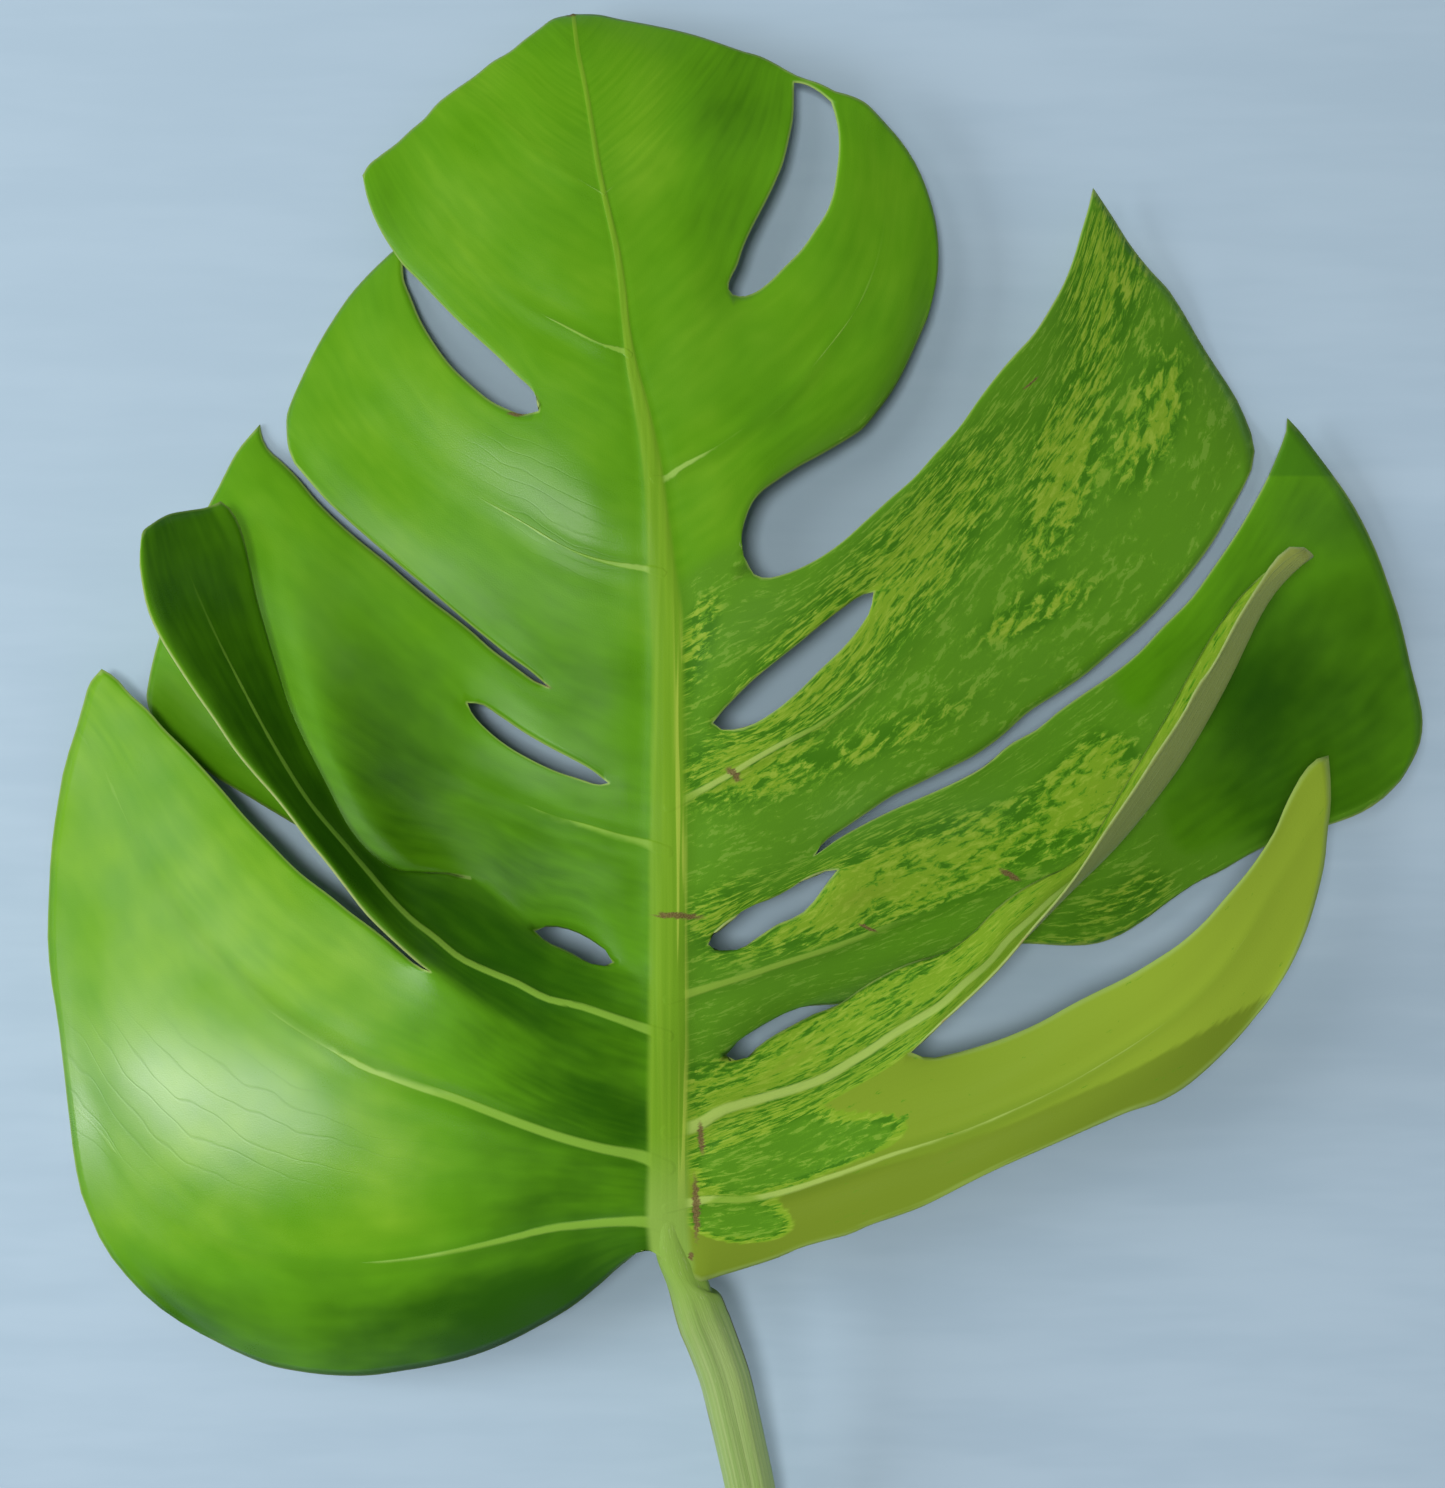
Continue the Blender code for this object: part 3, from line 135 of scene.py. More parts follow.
ONE, TWO = "one", "two"
EARLY = {("slit12", 1): 3}      # the row at which a slit opens, where its length alone would put it too near
LEFT = [
    ("base", 0, [(ONE, [(660, 1258.3, 36.2), (648, 1250.6, 35.2), (624, 1264, 32), (600, 1285), (571, 1308, 26),
                        (537, 1328), (503, 1345, 20), (468, 1358), (430, 1367, 15), (400, 1372),
                        (371, 1376, 12), (332, 1376), (298, 1372, 8), (269, 1366), (239, 1354, 5),
                        (200, 1334, 3.5)])]),
    ("vein5b", 3, [(ONE, [(651, 1223, 36), (615, 1222), (580, 1225), (546, 1229, 35), (517, 1237), (483, 1246),
                          (449, 1254, 31), (415, 1260), (381, 1264), (347, 1267, 25), (298, 1264), (255, 1256, 18),
                          (210, 1240), (165, 1210, 10), (125, 1170), (95, 1125, 3), (66, 1100, 0)])]),
    ("vein5a", 7, [(ONE, [(649, 1159, 35.5), (600, 1148), (566, 1139), (527, 1126, 36), (493, 1113), (454, 1098),
                          (420, 1087, 33), (390, 1076), (361, 1065), (332, 1047, 28), (303, 1030), (278, 1013),
                          (254, 993, 22), (230, 971), (210, 954), (185, 925, 15), (160, 890), (138, 850, 10.5),
                          (118, 805), (103, 765, 7.5), (76, 730, 6)])]),
    ("slit45", 12, [(ONE, [(600, 1083, 36), (560, 1065, 37), (520, 1040, 37), (470, 1000, 36.5), (430, 972, 35)]),
                    (TWO, [(421, 969, 33.6), (405, 956, 30.8), (388, 941, 29.3), (369, 926, 28), (349, 911.5, 26.7), (332, 897.5, 25.5), (300, 873, 23),
                           (268, 841, 20.5), (245, 817, 19), (221, 789, 17.5), (201, 767, 16.5), (185, 750, 15.5),
                           (161, 726, 14), (148, 711, 13.5), (129, 694, 12.5), (113, 676, 11.5), (101, 669, 11)],
                     [(421, 963, 36.2), (405, 948.5, 37.6), (388, 933, 38.3), (368, 913, 39), (348, 887), (328, 861, 39.5),
                      (308, 837), (292, 815), (276, 795, 39), (256, 773), (237, 750, 38.5), (217, 720),
                      (197, 692, 37.5), (177, 662), (161, 636, 35.5), (149, 610), (143, 583, 32), (140, 559, 30),
                      (141, 540, 28)])]),
    ("vein4", 15, [(ONE, [(650, 1030, 34), (615, 1018), (580, 1006, 34), (546, 998), (517, 983, 32.5), (488, 971),
                          (459, 957, 31), (434, 937), (411, 920, 29.5), (388, 897), (368, 873, 28.5), (348, 849),
                          (308, 801, 27.5), (280, 757), (250, 705, 26), (222, 650), (200, 600, 25), (180, 555, 23.5),
                          (169, 514, 22)])]),
    ("slit34", 18, [(ONE, [(640, 972, 31.8), (612, 962, 29.8)]),
                    (TWO, [(604, 966, 29.5), (586, 960, 29), (567, 950, 28), (547, 941, 27), (535, 931, 25.5)],
                     [(610, 956, 29), (598, 946, 28), (578, 934, 26.5), (563, 929, 25.7), (543, 928, 25.2),
                      (535, 931, 25.5)]),
                    (ONE, [(500, 900, 23.3), (470, 878, 22)]),
                    (TWO, [(455, 877, 22), (440, 876.5, 21.6), (420, 875.5, 20.8), (396, 871, 19.6), (376, 857), (356, 837, 17.5), (340, 809),
                           (326, 781), (316, 762, 16), (304, 738), (290, 706, 15.5), (280, 674), (268, 634, 14.5),
                           (258, 599), (251, 567, 14), (245, 541), (237, 519, 14.5), (229, 507), (221, 501, 15.5)],
                     [(455, 875.5, 20.8), (440, 874.5, 19.4), (424, 874.5, 17.8), (400, 875, 15.4), (350, 855, 12), (300, 828, 9.5), (268, 809, 8), (245, 795, 7),
                      (221, 781, 6), (201, 767, 5.5), (180, 750, 5), (162, 732, 4), (150, 714, 3)])]),
    ("vein3", 24, [(ONE, [(650, 845, 30.7), (618, 837, 30), (586, 827, 29), (555, 819, 27.5), (535, 811, 26.5),
                          (500, 797), (467, 781, 22), (427, 762, 19), (380, 730, 15.5), (340, 702, 12.5),
                          (300, 670, 9.5), (250, 635, 6.5), (205, 608, 3.5), (172, 597, 1.8)])]),
    ("hole23", 26, [(ONE, [(640, 790, 29.6), (608, 783, 28.5)]),
                    (TWO, [(598, 785, 28.3), (578, 779, 27.5), (555, 771, 26), (531, 760, 24.5), (507, 746, 22.5),
                           (487, 730, 20.5), (471, 712, 18.5), (467, 703, 17.5)],
                     [(590, 769, 28), (570, 758, 27), (547, 746, 25.5), (523, 732, 23.5), (499, 716, 21),
                      (479, 704, 18.7), (467, 703, 17.5)]),
                    (ONE, [(430, 672, 15.5), (390, 640, 13), (345, 603, 10), (300, 563, 7), (262, 528, 4.5),
                           (218, 487, 1)])]),
    ("slit23", 28, [(ONE, [(620, 712, 28), (580, 698, 26.5), (548, 687, 24.5)]),
                    (TWO, [(533, 680), (523, 673, 22.5), (507, 661), (491, 649, 19.6), (471, 631), (451, 615, 16.3),
                           (431, 600), (408, 581, 12.7), (384, 560), (360, 541, 8.7), (336, 520), (316, 500, 5),
                           (296, 476), (280, 460, 2), (268, 449), (262, 437, 0.5), (260, 424, 0)],
                     [(530, 671, 23.5), (510, 657, 22.2), (490, 641), (470, 625, 19.5), (450, 608), (430, 591, 16.5),
                      (413, 577), (396, 563, 13.5), (372, 542), (348, 521, 9.5), (324, 498), (304, 475, 5.3),
                      (294, 463, 4)])]),
    ("vein2", 33, [(ONE, [(646, 568, 27), (618, 565, 27), (594, 560, 26.5), (563, 548, 25), (539, 533, 23.5),
                          (519, 521, 22), (499, 509, 20.5), (475, 496, 19), (430, 465, 15), (390, 427, 10),
                          (355, 383, 5), (326, 330, 0.3)])]),
    ("slit12", 36, [(ONE, [(610, 453, 25), (570, 430, 23.5), (538, 411, 21.5)]),
                    (TWO, [(521, 414, 20.5), (507, 409), (491, 401, 18), (471, 385, 16), (451, 366, 13.5),
                           (433, 342, 11), (419, 318, 8.5), (410, 296, 6.5), (403, 278, 5), (402, 264, 4),
                           (403, 250, 3), (407, 240, 2.5)],
                     [(540, 405, 21.5), (537, 398), (531, 389, 20.5), (515, 374, 19.5), (499, 358, 18.5),
                      (479, 340, 17), (459, 322, 15.5), (439, 302, 13.5), (419, 281, 11.5), (402, 264, 10),
                      (392, 250, 9), (380, 230, 8), (372, 213, 7), (366, 195, 6), (362, 175, 5)])]),
    ("vein1", 40, [(ONE, [(626, 352, 22), (602, 346, 21.5), (578, 334, 20.5), (559, 324, 19.5), (531, 310, 18),
                          (511, 294, 16.5), (480, 268, 14.5), (450, 238, 12), (420, 200, 9), (400, 172, 6.5),
                          (385, 151, 5)])]),
    ("cap", 45, [(ONE, [(570, 175, 16.5), (530, 148, 14), (495, 118, 10.5), (455, 89, 6.5)])]),
]
RIGHT = [
    ("base", 0, [(ONE, [(686, 1275, 36.2), (700, 1282, 35.6), (718, 1277, 35.7), (751, 1267, 36), (778, 1258),
                        (801, 1248, 37), (825, 1241), (848, 1235, 38), (871, 1225), (898, 1216, 39), (917, 1209),
                        (940, 1198, 40), (963, 1186), (1000, 1168, 41), (1032, 1154), (1069, 1138, 41.5),
                        (1101, 1124), (1129, 1112, 41.5), (1157, 1103), (1180, 1091, 41), (1203, 1073), (1226, 1051, 40),
                        (1249, 1025), (1266, 1001, 39)])]),
    ("vein5", 4, [(ONE, [(705, 1200, 35.7), (751, 1199, 36.5), (788, 1191), (825, 1179, 38.5), (852, 1170),
                         (889, 1156, 40), (926, 1145), (963, 1133, 42), (1000, 1117), (1032, 1103, 43.5),
                         (1065, 1087), (1101, 1066, 44), (1138, 1043), (1171, 1020, 44), (1203, 992),
                         (1231, 960, 42.5), (1258, 918), (1280, 880, 38.5), (1310, 835, 34.5), (1331, 800, 31.3)])]),
    ("slit45", 7, [(ONE, [(720, 1151, 34.3), (760, 1136, 33.7), (820, 1106, 33), (865, 1080, 32.5), (911, 1052, 32)]),
                   (TWO, [(926, 1057, 33), (953, 1053, 34.5), (979, 1046, 36), (1011, 1035, 37.5), (1042, 1021, 38.5),
                          (1069, 1006, 39.5), (1096, 992, 40), (1123, 979), (1154, 961, 41), (1181, 943),
                          (1204, 923, 40.5), (1226, 898), (1249, 871, 38), (1262, 853), (1276, 831, 35.5),
                          (1287, 804), (1296, 786, 32), (1307, 768, 30), (1320, 757, 28.5), (1329, 755, 28)],
                    [(922, 1040, 33.5), (935, 1026, 35.5), (957, 1006, 37.5), (979, 986), (997, 968, 39),
                     (1015, 947), (1033, 925, 40), (1051, 905), (1068, 884, 40), (1083, 862), (1105, 828, 39.5),
                     (1123, 802), (1141, 775), (1154, 754), (1168, 734, 38.5), (1186, 705), (1195, 687), (1211, 665),
                     (1222, 645, 37.5), (1235, 620), (1249, 597, 36.5), (1262, 577), (1269, 566, 35), (1280, 553),
                     (1290, 546, 33.5), (1303, 547, 32)])]),
    ("vein4", 10, [(ONE, [(700, 1124, 34), (718, 1112), (746, 1103, 33), (774, 1095), (801, 1087, 31.5), (825, 1078),
                          (848, 1064, 30.5), (871, 1050), (894, 1034, 30), (917, 1020), (940, 1006, 29.5),
                          (963, 985), (991, 962, 29), (1009, 939), (1032, 918, 28.5), (1055, 897), (1075, 882, 28),
                          (1092, 867), (1110, 851), (1128, 832), (1145, 812, 27), (1163, 789), (1181, 763),
                          (1199, 736, 26.5), (1217, 705), (1231, 678, 27), (1244, 651), (1253, 624, 28), (1264, 599),
                          (1278, 579, 29.5), (1294, 562), (1312, 554, 31)])]),
    ("slit34", 13, [(ONE, [(700, 1062, 31.5), (727, 1055, 29.8)]),
                    (TWO, [(732, 1063, 29.8), (741, 1062, 29.5), (751, 1052), (769, 1038, 28), (792, 1025),
                           (815, 1013, 25.5), (834, 1006), (867, 984, 24.3), (908, 963, 23.4), (948, 950, 22.4),
                           (970, 934), (997, 907, 21.3), (1024, 887), (1051, 873, 19.6), (1076, 862, 18.7),
                           (1103, 820, 17.6), (1141, 757, 16.5), (1165, 717, 15.8), (1190, 671, 16), (1217, 626, 18),
                           (1245, 590, 21.5), (1275, 566, 27), (1298, 559, 30)],
                     [(728, 1050, 29.3), (737, 1043, 28.5), (755, 1031, 27.5), (778, 1018, 26), (801, 1008, 24.5),
                      (820, 1006), (838, 1005, 21), (880, 992, 18), (930, 972, 15.5), (980, 954, 14.2),
                      (1024, 944, 13.5), (1047, 945), (1069, 946, 12), (1096, 944), (1119, 936, 10.5), (1145, 920),
                      (1172, 900, 9), (1199, 882), (1222, 871, 7.5), (1244, 858), (1267, 846, 6), (1300, 834, 5),
                      (1329, 825, 4.5), (1361, 813, 3.5), (1383, 799, 2.5), (1401, 781, 1.5)])]),
    ("vein3", 17, [(ONE, [(700, 990, 32), (746, 976, 31), (778, 965, 29.5), (825, 950, 27), (880, 930, 24),
                          (954, 902, 20), (1009, 880, 17.5), (1083, 850, 14), (1150, 818, 11), (1220, 775, 8),
                          (1290, 722, 5), (1350, 665, 3), (1399, 615, 2)])]),
    ("hole2", 19, [(ONE, [(690, 952, 31.7), (709, 944, 30.5)]),
                   (TWO, [(718, 952, 30), (737, 950, 29.5), (755, 939), (778, 924, 28), (801, 914), (815, 900, 26.5),
                          (825, 886), (838, 870, 26)],
                    [(712, 935, 30.5), (721, 925), (737, 914, 30), (755, 905), (774, 898, 28.5), (792, 888),
                     (811, 875, 27), (825, 869), (838, 870, 26)]),
                   (ONE, [(900, 843, 23), (970, 812, 19.5), (1040, 775, 16), (1100, 735, 13), (1160, 690, 10.3),
                          (1220, 635, 8), (1270, 580, 6), (1315, 520, 4.5), (1345, 492, 4.2)])]),
    ("slit23", 22, [(ONE, [(700, 891, 30.5), (740, 880, 29.5), (780, 868, 28.5), (815, 856, 27)]),
                    (TWO, [(835, 841), (863, 825, 25), (891, 811), (923, 797, 22.5), (955, 783), (983, 769, 20),
                           (1011, 744), (1038, 729, 16.5), (1057, 713), (1085, 693, 14), (1112, 675), (1140, 652, 11.3),
                           (1163, 627), (1191, 599, 9), (1214, 567), (1237, 533, 7), (1255, 502), (1269, 475, 6),
                           (1280, 449), (1287, 430), (1288, 418, 6)],
                     [(821, 846), (845, 828, 26.5), (870, 811), (891, 797, 24.5), (918, 784), (946, 770, 22),
                      (974, 756), (1001, 737, 19), (1029, 712), (1057, 694, 16), (1085, 675), (1112, 652, 13),
                      (1140, 628), (1163, 605, 10.5), (1191, 572), (1214, 540, 8), (1232, 508), (1244, 485, 5.5)])]),
    ("vein2", 25, [(ONE, [(695, 794, 30), (729, 775, 30), (752, 761), (780, 745, 29), (808, 731), (835, 715, 27),
                          (863, 692), (891, 669, 24), (912, 646), (950, 602, 20), (1000, 545, 16), (1050, 487, 12),
                          (1100, 422, 8), (1140, 358, 5), (1170, 291, 3)])]),
    ("hole1", 28, [(ONE, [(690, 731, 29.6), (713, 723, 29)]),
                   (TWO, [(720, 729), (731, 731, 29.3), (752, 725, 29), (775, 711), (798, 692, 27.5), (821, 669),
                          (845, 646, 25), (863, 623), (870, 611, 23), (874, 592, 22.5)],
                    [(720, 714), (734, 699, 28.5), (752, 681), (775, 662, 27.5), (798, 644), (821, 625, 25.5),
                     (845, 607), (863, 595, 23), (874, 592, 22.5)]),
                   (ONE, [(920, 545, 20), (965, 497, 17.5), (1010, 443, 14.5), (1050, 385, 11.5), (1083, 325, 9),
                          (1106, 268, 7.2), (1121, 229, 6.3)])]),
    ("slit12", 32, [(ONE, [(685, 604, 28), (715, 587, 28), (749, 566, 27.3)]),
                    (TWO, [(755, 575), (766, 578, 27.5), (782, 575), (798, 569, 26.5), (821, 557), (845, 540, 25),
                           (868, 519), (891, 498, 22.5), (914, 478), (937, 452, 20), (960, 427), (978, 401, 17.5),
                           (997, 376), (1015, 355, 15.5), (1034, 335), (1052, 307, 13), (1066, 281), (1075, 256, 10.5),
                           (1082, 231), (1089, 208, 9), (1094, 188, 8.5)],
                     [(743, 551), (743, 533, 26), (747, 517), (753, 503, 25), (761, 493), (777, 481, 23.5),
                      (797, 468), (821, 455, 21), (845, 441), (863, 429, 18.5), (877, 413), (892, 393, 16),
                      (904, 372), (916, 346, 14), (928, 318, 13)])]),
    ("vein1", 36, [(ONE, [(666, 479, 25.8), (678, 469), (698, 459, 26.5), (718, 449), (741, 433, 26), (765, 417),
                          (789, 397, 24), (805, 380), (817, 364, 22), (837, 338, 20.5), (857, 310, 19),
                          (869, 282, 17.5), (879, 254, 16), (884, 222, 15), (886, 195, 14), (888, 165, 12.5),
                          (893, 131, 11)])]),
    ("top_hole", 39, [(ONE, [(690, 337, 22), (733, 294, 19.5)]),
                      (TWO, [(741, 296), (753, 293, 19.5), (769, 282), (785, 266, 19), (801, 250), (815, 230, 18),
                             (827, 211), (833, 195, 16.5), (837, 171), (839, 149, 14.5), (838, 127), (835, 113, 13),
                             (831, 101, 12.5)],
                       [(729, 288), (731, 278, 19), (737, 266), (743, 248, 18), (751, 230), (763, 207, 16.5),
                        (773, 187), (783, 163, 15), (789, 139), (793, 119, 13), (794, 99), (794, 82, 11.5)]),
                      (TWO, [(836, 91, 12)], [(797, 75, 11)])]),
    ("cap", 45, [(ONE, [(640, 165, 17), (680, 125, 15), (715, 85, 12.5), (741, 50, 9.5)])]),
]
# the margin of each lobe, from one slit to the next, with the ribs that end on it
LEFT_MARGINS = [
    (["base", "vein5b", "vein5a", "slit45"],
     [(200, 1334, 3.5), (176, 1320, 3), (149, 1300, 2), (123, 1273, 1.5), (103, 1246, 1), (91, 1220), (81, 1195, 1),
      (74, 1161), (68, 1113, 0), (63, 1069), (57, 1020, 0), (50, 976), (47, 940, 0), (48, 897, 0.5), (50, 857, 1.5),
      (53, 829, 2), (58, 797, 3), (64, 765, 4.5), (74, 734, 6), (82, 706, 8), (90, 682, 10), (101, 669, 11)]),
    (["slit45", "vein4", "slit34"],
     [(141, 540, 28), (143, 531, 27), (153, 523, 25.5), (169, 514, 22), (189, 510, 19), (207, 507, 17),
      (221, 501, 15.5)]),
    (["slit34", "vein3", "hole23", "slit23"],
     [(150, 714, 3), (146, 698, 2.5), (148, 682, 2.5), (153, 658, 2), (159, 636, 2), (185, 565, 1.5), (207, 507, 1),
      (215, 493), (225, 473, 1), (237, 451), (249, 436, 0.5), (260, 424, 0)]),
    (["slit23", "vein2", "slit12"],
     [(294, 463, 4), (288, 448, 2.5), (286, 432, 1), (286, 416, 0.3), (292, 398, 0), (300, 380, 0), (320, 340, 0),
      (340, 308, 0.5), (350, 294), (364, 278, 1), (380, 262, 1.5), (392, 251, 2), (407, 240, 2.5)]),
    (["slit12", "vein1", "cap", "apex"],
     [(362, 175, 5), (368, 165), (380, 155, 5), (396, 143, 5), (411, 129), (423, 119, 5.5), (437, 103), (455, 89, 6.5),
      (475, 75), (491, 62, 7), (511, 50), (523, 40, 7.5), (539, 28), (551, 19, 7), (573, 13, 6)]),
]
RIGHT_MARGINS = [
    (["base", "vein5", "slit45"],
     [(1266, 1001, 39), (1280, 983, 38.5), (1296, 955), (1307, 929, 36.5), (1318, 894, 35), (1325, 862, 34), (1328, 831, 32.5), (1331, 808, 31.5),
      (1331, 781, 30), (1329, 755, 28)]),
    (["slit45", "vein4", "slit34"], [(1303, 547, 32), (1312, 554, 31), (1298, 559, 30)]),
    (["slit34", "vein3", "hole2", "slit23"],
     [(1401, 781, 1.5), (1412, 763, 1),
      (1421, 741, 0.5), (1423, 719, 0), (1419, 696, 0), (1412, 669, 0.3), (1406, 642, 1), (1399, 615, 2),
      (1390, 588, 2.5), (1379, 557, 3), (1365, 526, 3.5), (1350, 499, 4), (1334, 476, 4.5), (1316, 452, 5),
      (1300, 431, 5.5), (1288, 418, 6)]),
    (["slit23", "vein2", "hole1", "slit12"],
     [(1244, 485, 5.5), (1252, 468, 4), (1255, 452, 2.5), (1252, 434, 1), (1246, 418, 0.3), (1235, 395, 0),
      (1218, 369, 0.5), (1202, 344, 1), (1186, 316, 2), (1170, 291, 3), (1149, 268, 4.5), (1131, 245, 5.5),
      (1112, 215, 7), (1094, 188, 8.5)]),
    (["slit12", "vein1", "top_hole"],
     [(928, 318, 13), (934, 296, 12.5), (938, 274, 12), (939, 254, 11.5), (938, 234, 11), (934, 211, 10.5),
      (928, 191), (920, 171, 10.5), (910, 153), (900, 139, 11), (888, 125, 11), (877, 113, 11.5), (865, 102, 12),
      (853, 96, 12), (836, 91, 12)]),
    (["top_hole", "cap", "apex"],
     [(797, 75, 11), (787, 70, 11), (777, 64, 10.5), (761, 56, 10), (741, 50, 9.5), (721, 43, 9), (700, 36, 8.5),
      (678, 30, 8), (650, 24, 7.5), (618, 18, 7), (600, 14, 6.5), (573, 13, 6)]),
]
# the thin bridge of tissue that closes the top hole: its inner and its outer edge
BRIDGE = ([(831, 101, 12.5), (817, 90, 12), (801, 82, 11.7), (794, 82, 11.5)],
          [(836, 91, 12), (817, 82, 11.7), (805, 78, 11.3), (797, 75, 11)])
# the stalk's axis, from the blade to its cut end
STALK = [(680, 1270.2, 31.2), (691.5, 1289.5, 31), (703, 1320, 29.6), (712, 1342, 28.2), (725, 1378, 25.6),
         (734, 1414, 23), (742, 1449, 20.4), (750, 1486, 17.6), (757, 1530, 14.2), (765, 1575, 10.9),
         (774, 1620, 7.8), (784, 1665, 5.4), (793, 1705, 3.95), (805, 1755, 3.9), (817, 1800, 3.9)]


def midrib_half(down):
    return np.interp(down, *zip(*MIDRIB_HALF))


# ---- the grid -----------------------------------------------------------------
class Sheet:
    def __init__(self):
        self.p, self.col, self.row, self.side, self.hold = [], [], [], [], []
        self.faces, self.edge = [], {}

    def add(self, p, col, row, side, hold):
        """hold is how firmly the height stays: 1 fixed, 0 free."""
        self.p.append(np.array(p, float))
        self.col.append(col)
        self.row.append(row)
        self.side.append(side)
        self.hold.append(hold)
        return len(self.p) - 1

    def trace(self, ids, line, fracs):
        """The edges between these points follow a line."""
        for a, b, fa, fb in zip(ids[:-1], ids[1:], fracs[:-1], fracs[1:]):
            self.edge[min(a, b), max(a, b)] = (line, fa, fb) if a < b else (line, fb, fa)


def build_rib(sheet, side, col, start, parts, margin, opens=None):
    """One rib from the midrib to the margin: its near and far row of points."""
    sp = sheet.p[start]
    half = midrib_half(sp[1]) * 1.15
    lines, q = [], tuple(sp)
    for n, part in enumerate(parts):
        if part[0] == ONE:
            pts = [q] + part[1]
            if margin is not None and n == len(parts) - 1:
                pts = pts[:-1] + [tuple(margin)]
            lines.append((Line(pts),))
            q = pts[-1]
        else:
            a, b = part[1], part[2]
            qa, qb = (q if isinstance(q, tuple) else q)[:], q
            if isinstance(q, list):
                qa, qb = q
            lines.append((Line([qa] + a), Line([qb] + b)))
            q = a[-1] if a[-1] == b[-1] else [a[-1], b[-1]]
    length = [np.mean([li.length for li in ls]) for ls in lines]
    total, cuts, run = sum(length), [0], 0.0
    for n, part_len in enumerate(length[:-1]):
        run += part_len
        k = 2 + (run - half) / (total - half) * (ROWS - 2)
        cuts.append(int(max(round(k), cuts[-1] + (2 if parts[n][0] == TWO else 1), 3 if n == 0 else 0)))
    if opens is not None:
        cuts[1] = opens
    if len(parts) > 1 and parts[-1][0] == TWO and len(parts[-1][1]) == 1:
        cuts[-1] = ROWS - 1
    cuts.append(ROWS)
    A, B = [start] + [None] * ROWS, [start] + [None] * ROWS
    soft = 0.6
    for n, ls in enumerate(lines):
        k0, k1 = cuts[n], cuts[n + 1]
        if n == 0:
            f2 = half / ls[0].length
            f = np.concatenate([[0, f2 * 0.5, f2], f2 + (1 - f2) * np.arange(1, k1 - 1) / max(k1 - 2, 1)])[: k1 + 1]
            f[-1] = 1
        else:
            f = np.linspace(0, 1, k1 - k0 + 1)
        last = n == len(lines) - 1
        joined_end = not last and lines[n][0].p[-1][:2].tolist() == lines[n][-1].p[-1][:2].tolist()
        for li, ids in zip(ls if len(ls) == 2 else (ls[0], ls[0]), (A, B)):
            pts = li.at(f)
            for k in range(k0 + 1, k1 + 1):
                if len(ls) == 1 and ids is B:
                    ids[k] = A[k]
                    continue
                if k == k1 and len(ls) == 2 and joined_end and ids is B:
                    ids[k] = A[k]
                    continue
                edge = len(ls) == 2 or (last and k == k1)
                ids[k] = sheet.add(pts[k - k0], col, k, side, 1.0 if edge else soft)
        if len(ls) == 2:
            sheet.trace(A[k0:k1 + 1], ls[0], f)
            sheet.trace(B[k0:k1 + 1], ls[1], f)
        if len(ls) == 1 and n + 1 < len(lines) and len(lines[n + 1]) == 2:
            sheet.hold[A[k1]] = 1.0
    return A, B, lines


def fill_sector(sheet, side, ca, cb, near, far, mids, outer):
    """A Coons patch between two ribs; returns the columns, ribs included."""
    n = cb - ca
    PA = np.array([sheet.p[i] for i in near])
    PB = np.array([sheet.p[i] for i in far])
    PM = np.array([sheet.p[i] for i in mids])
    la = np.concatenate([[0], np.cumsum(np.linalg.norm(np.diff(PA, axis=0), axis=1))])
    lb = np.concatenate([[0], np.cumsum(np.linalg.norm(np.diff(PB, axis=0), axis=1))])
    t = (la / la[-1] + lb / lb[-1]) / 2
    cols = [near]
    for c in range(1, n):
        s = c / n
        ids = [mids[c]]
        for k in range(1, ROWS + 1):
            p = ((1 - s) * PA[k] + s * PB[k] + (1 - t[k]) * PM[c] + t[k] * outer[c]
                 - ((1 - s) * (1 - t[k]) * PA[0] + s * (1 - t[k]) * PB[0] + (1 - s) * t[k] * PA[-1] + s * t[k] * PB[-1]))
            ids.append(sheet.add(p, ca + c, k, side, 1.0 if k == ROWS else 0.0))
        cols.append(ids)
    cols.append(far)
    for c in range(n):
        a, b = cols[c], cols[c + 1]
        for k in range(ROWS):
            f = (a[k], b[k], b[k + 1], a[k + 1]) if side < 0 else (a[k], a[k + 1], b[k + 1], b[k])
            sheet.faces.append(f)
    return cols


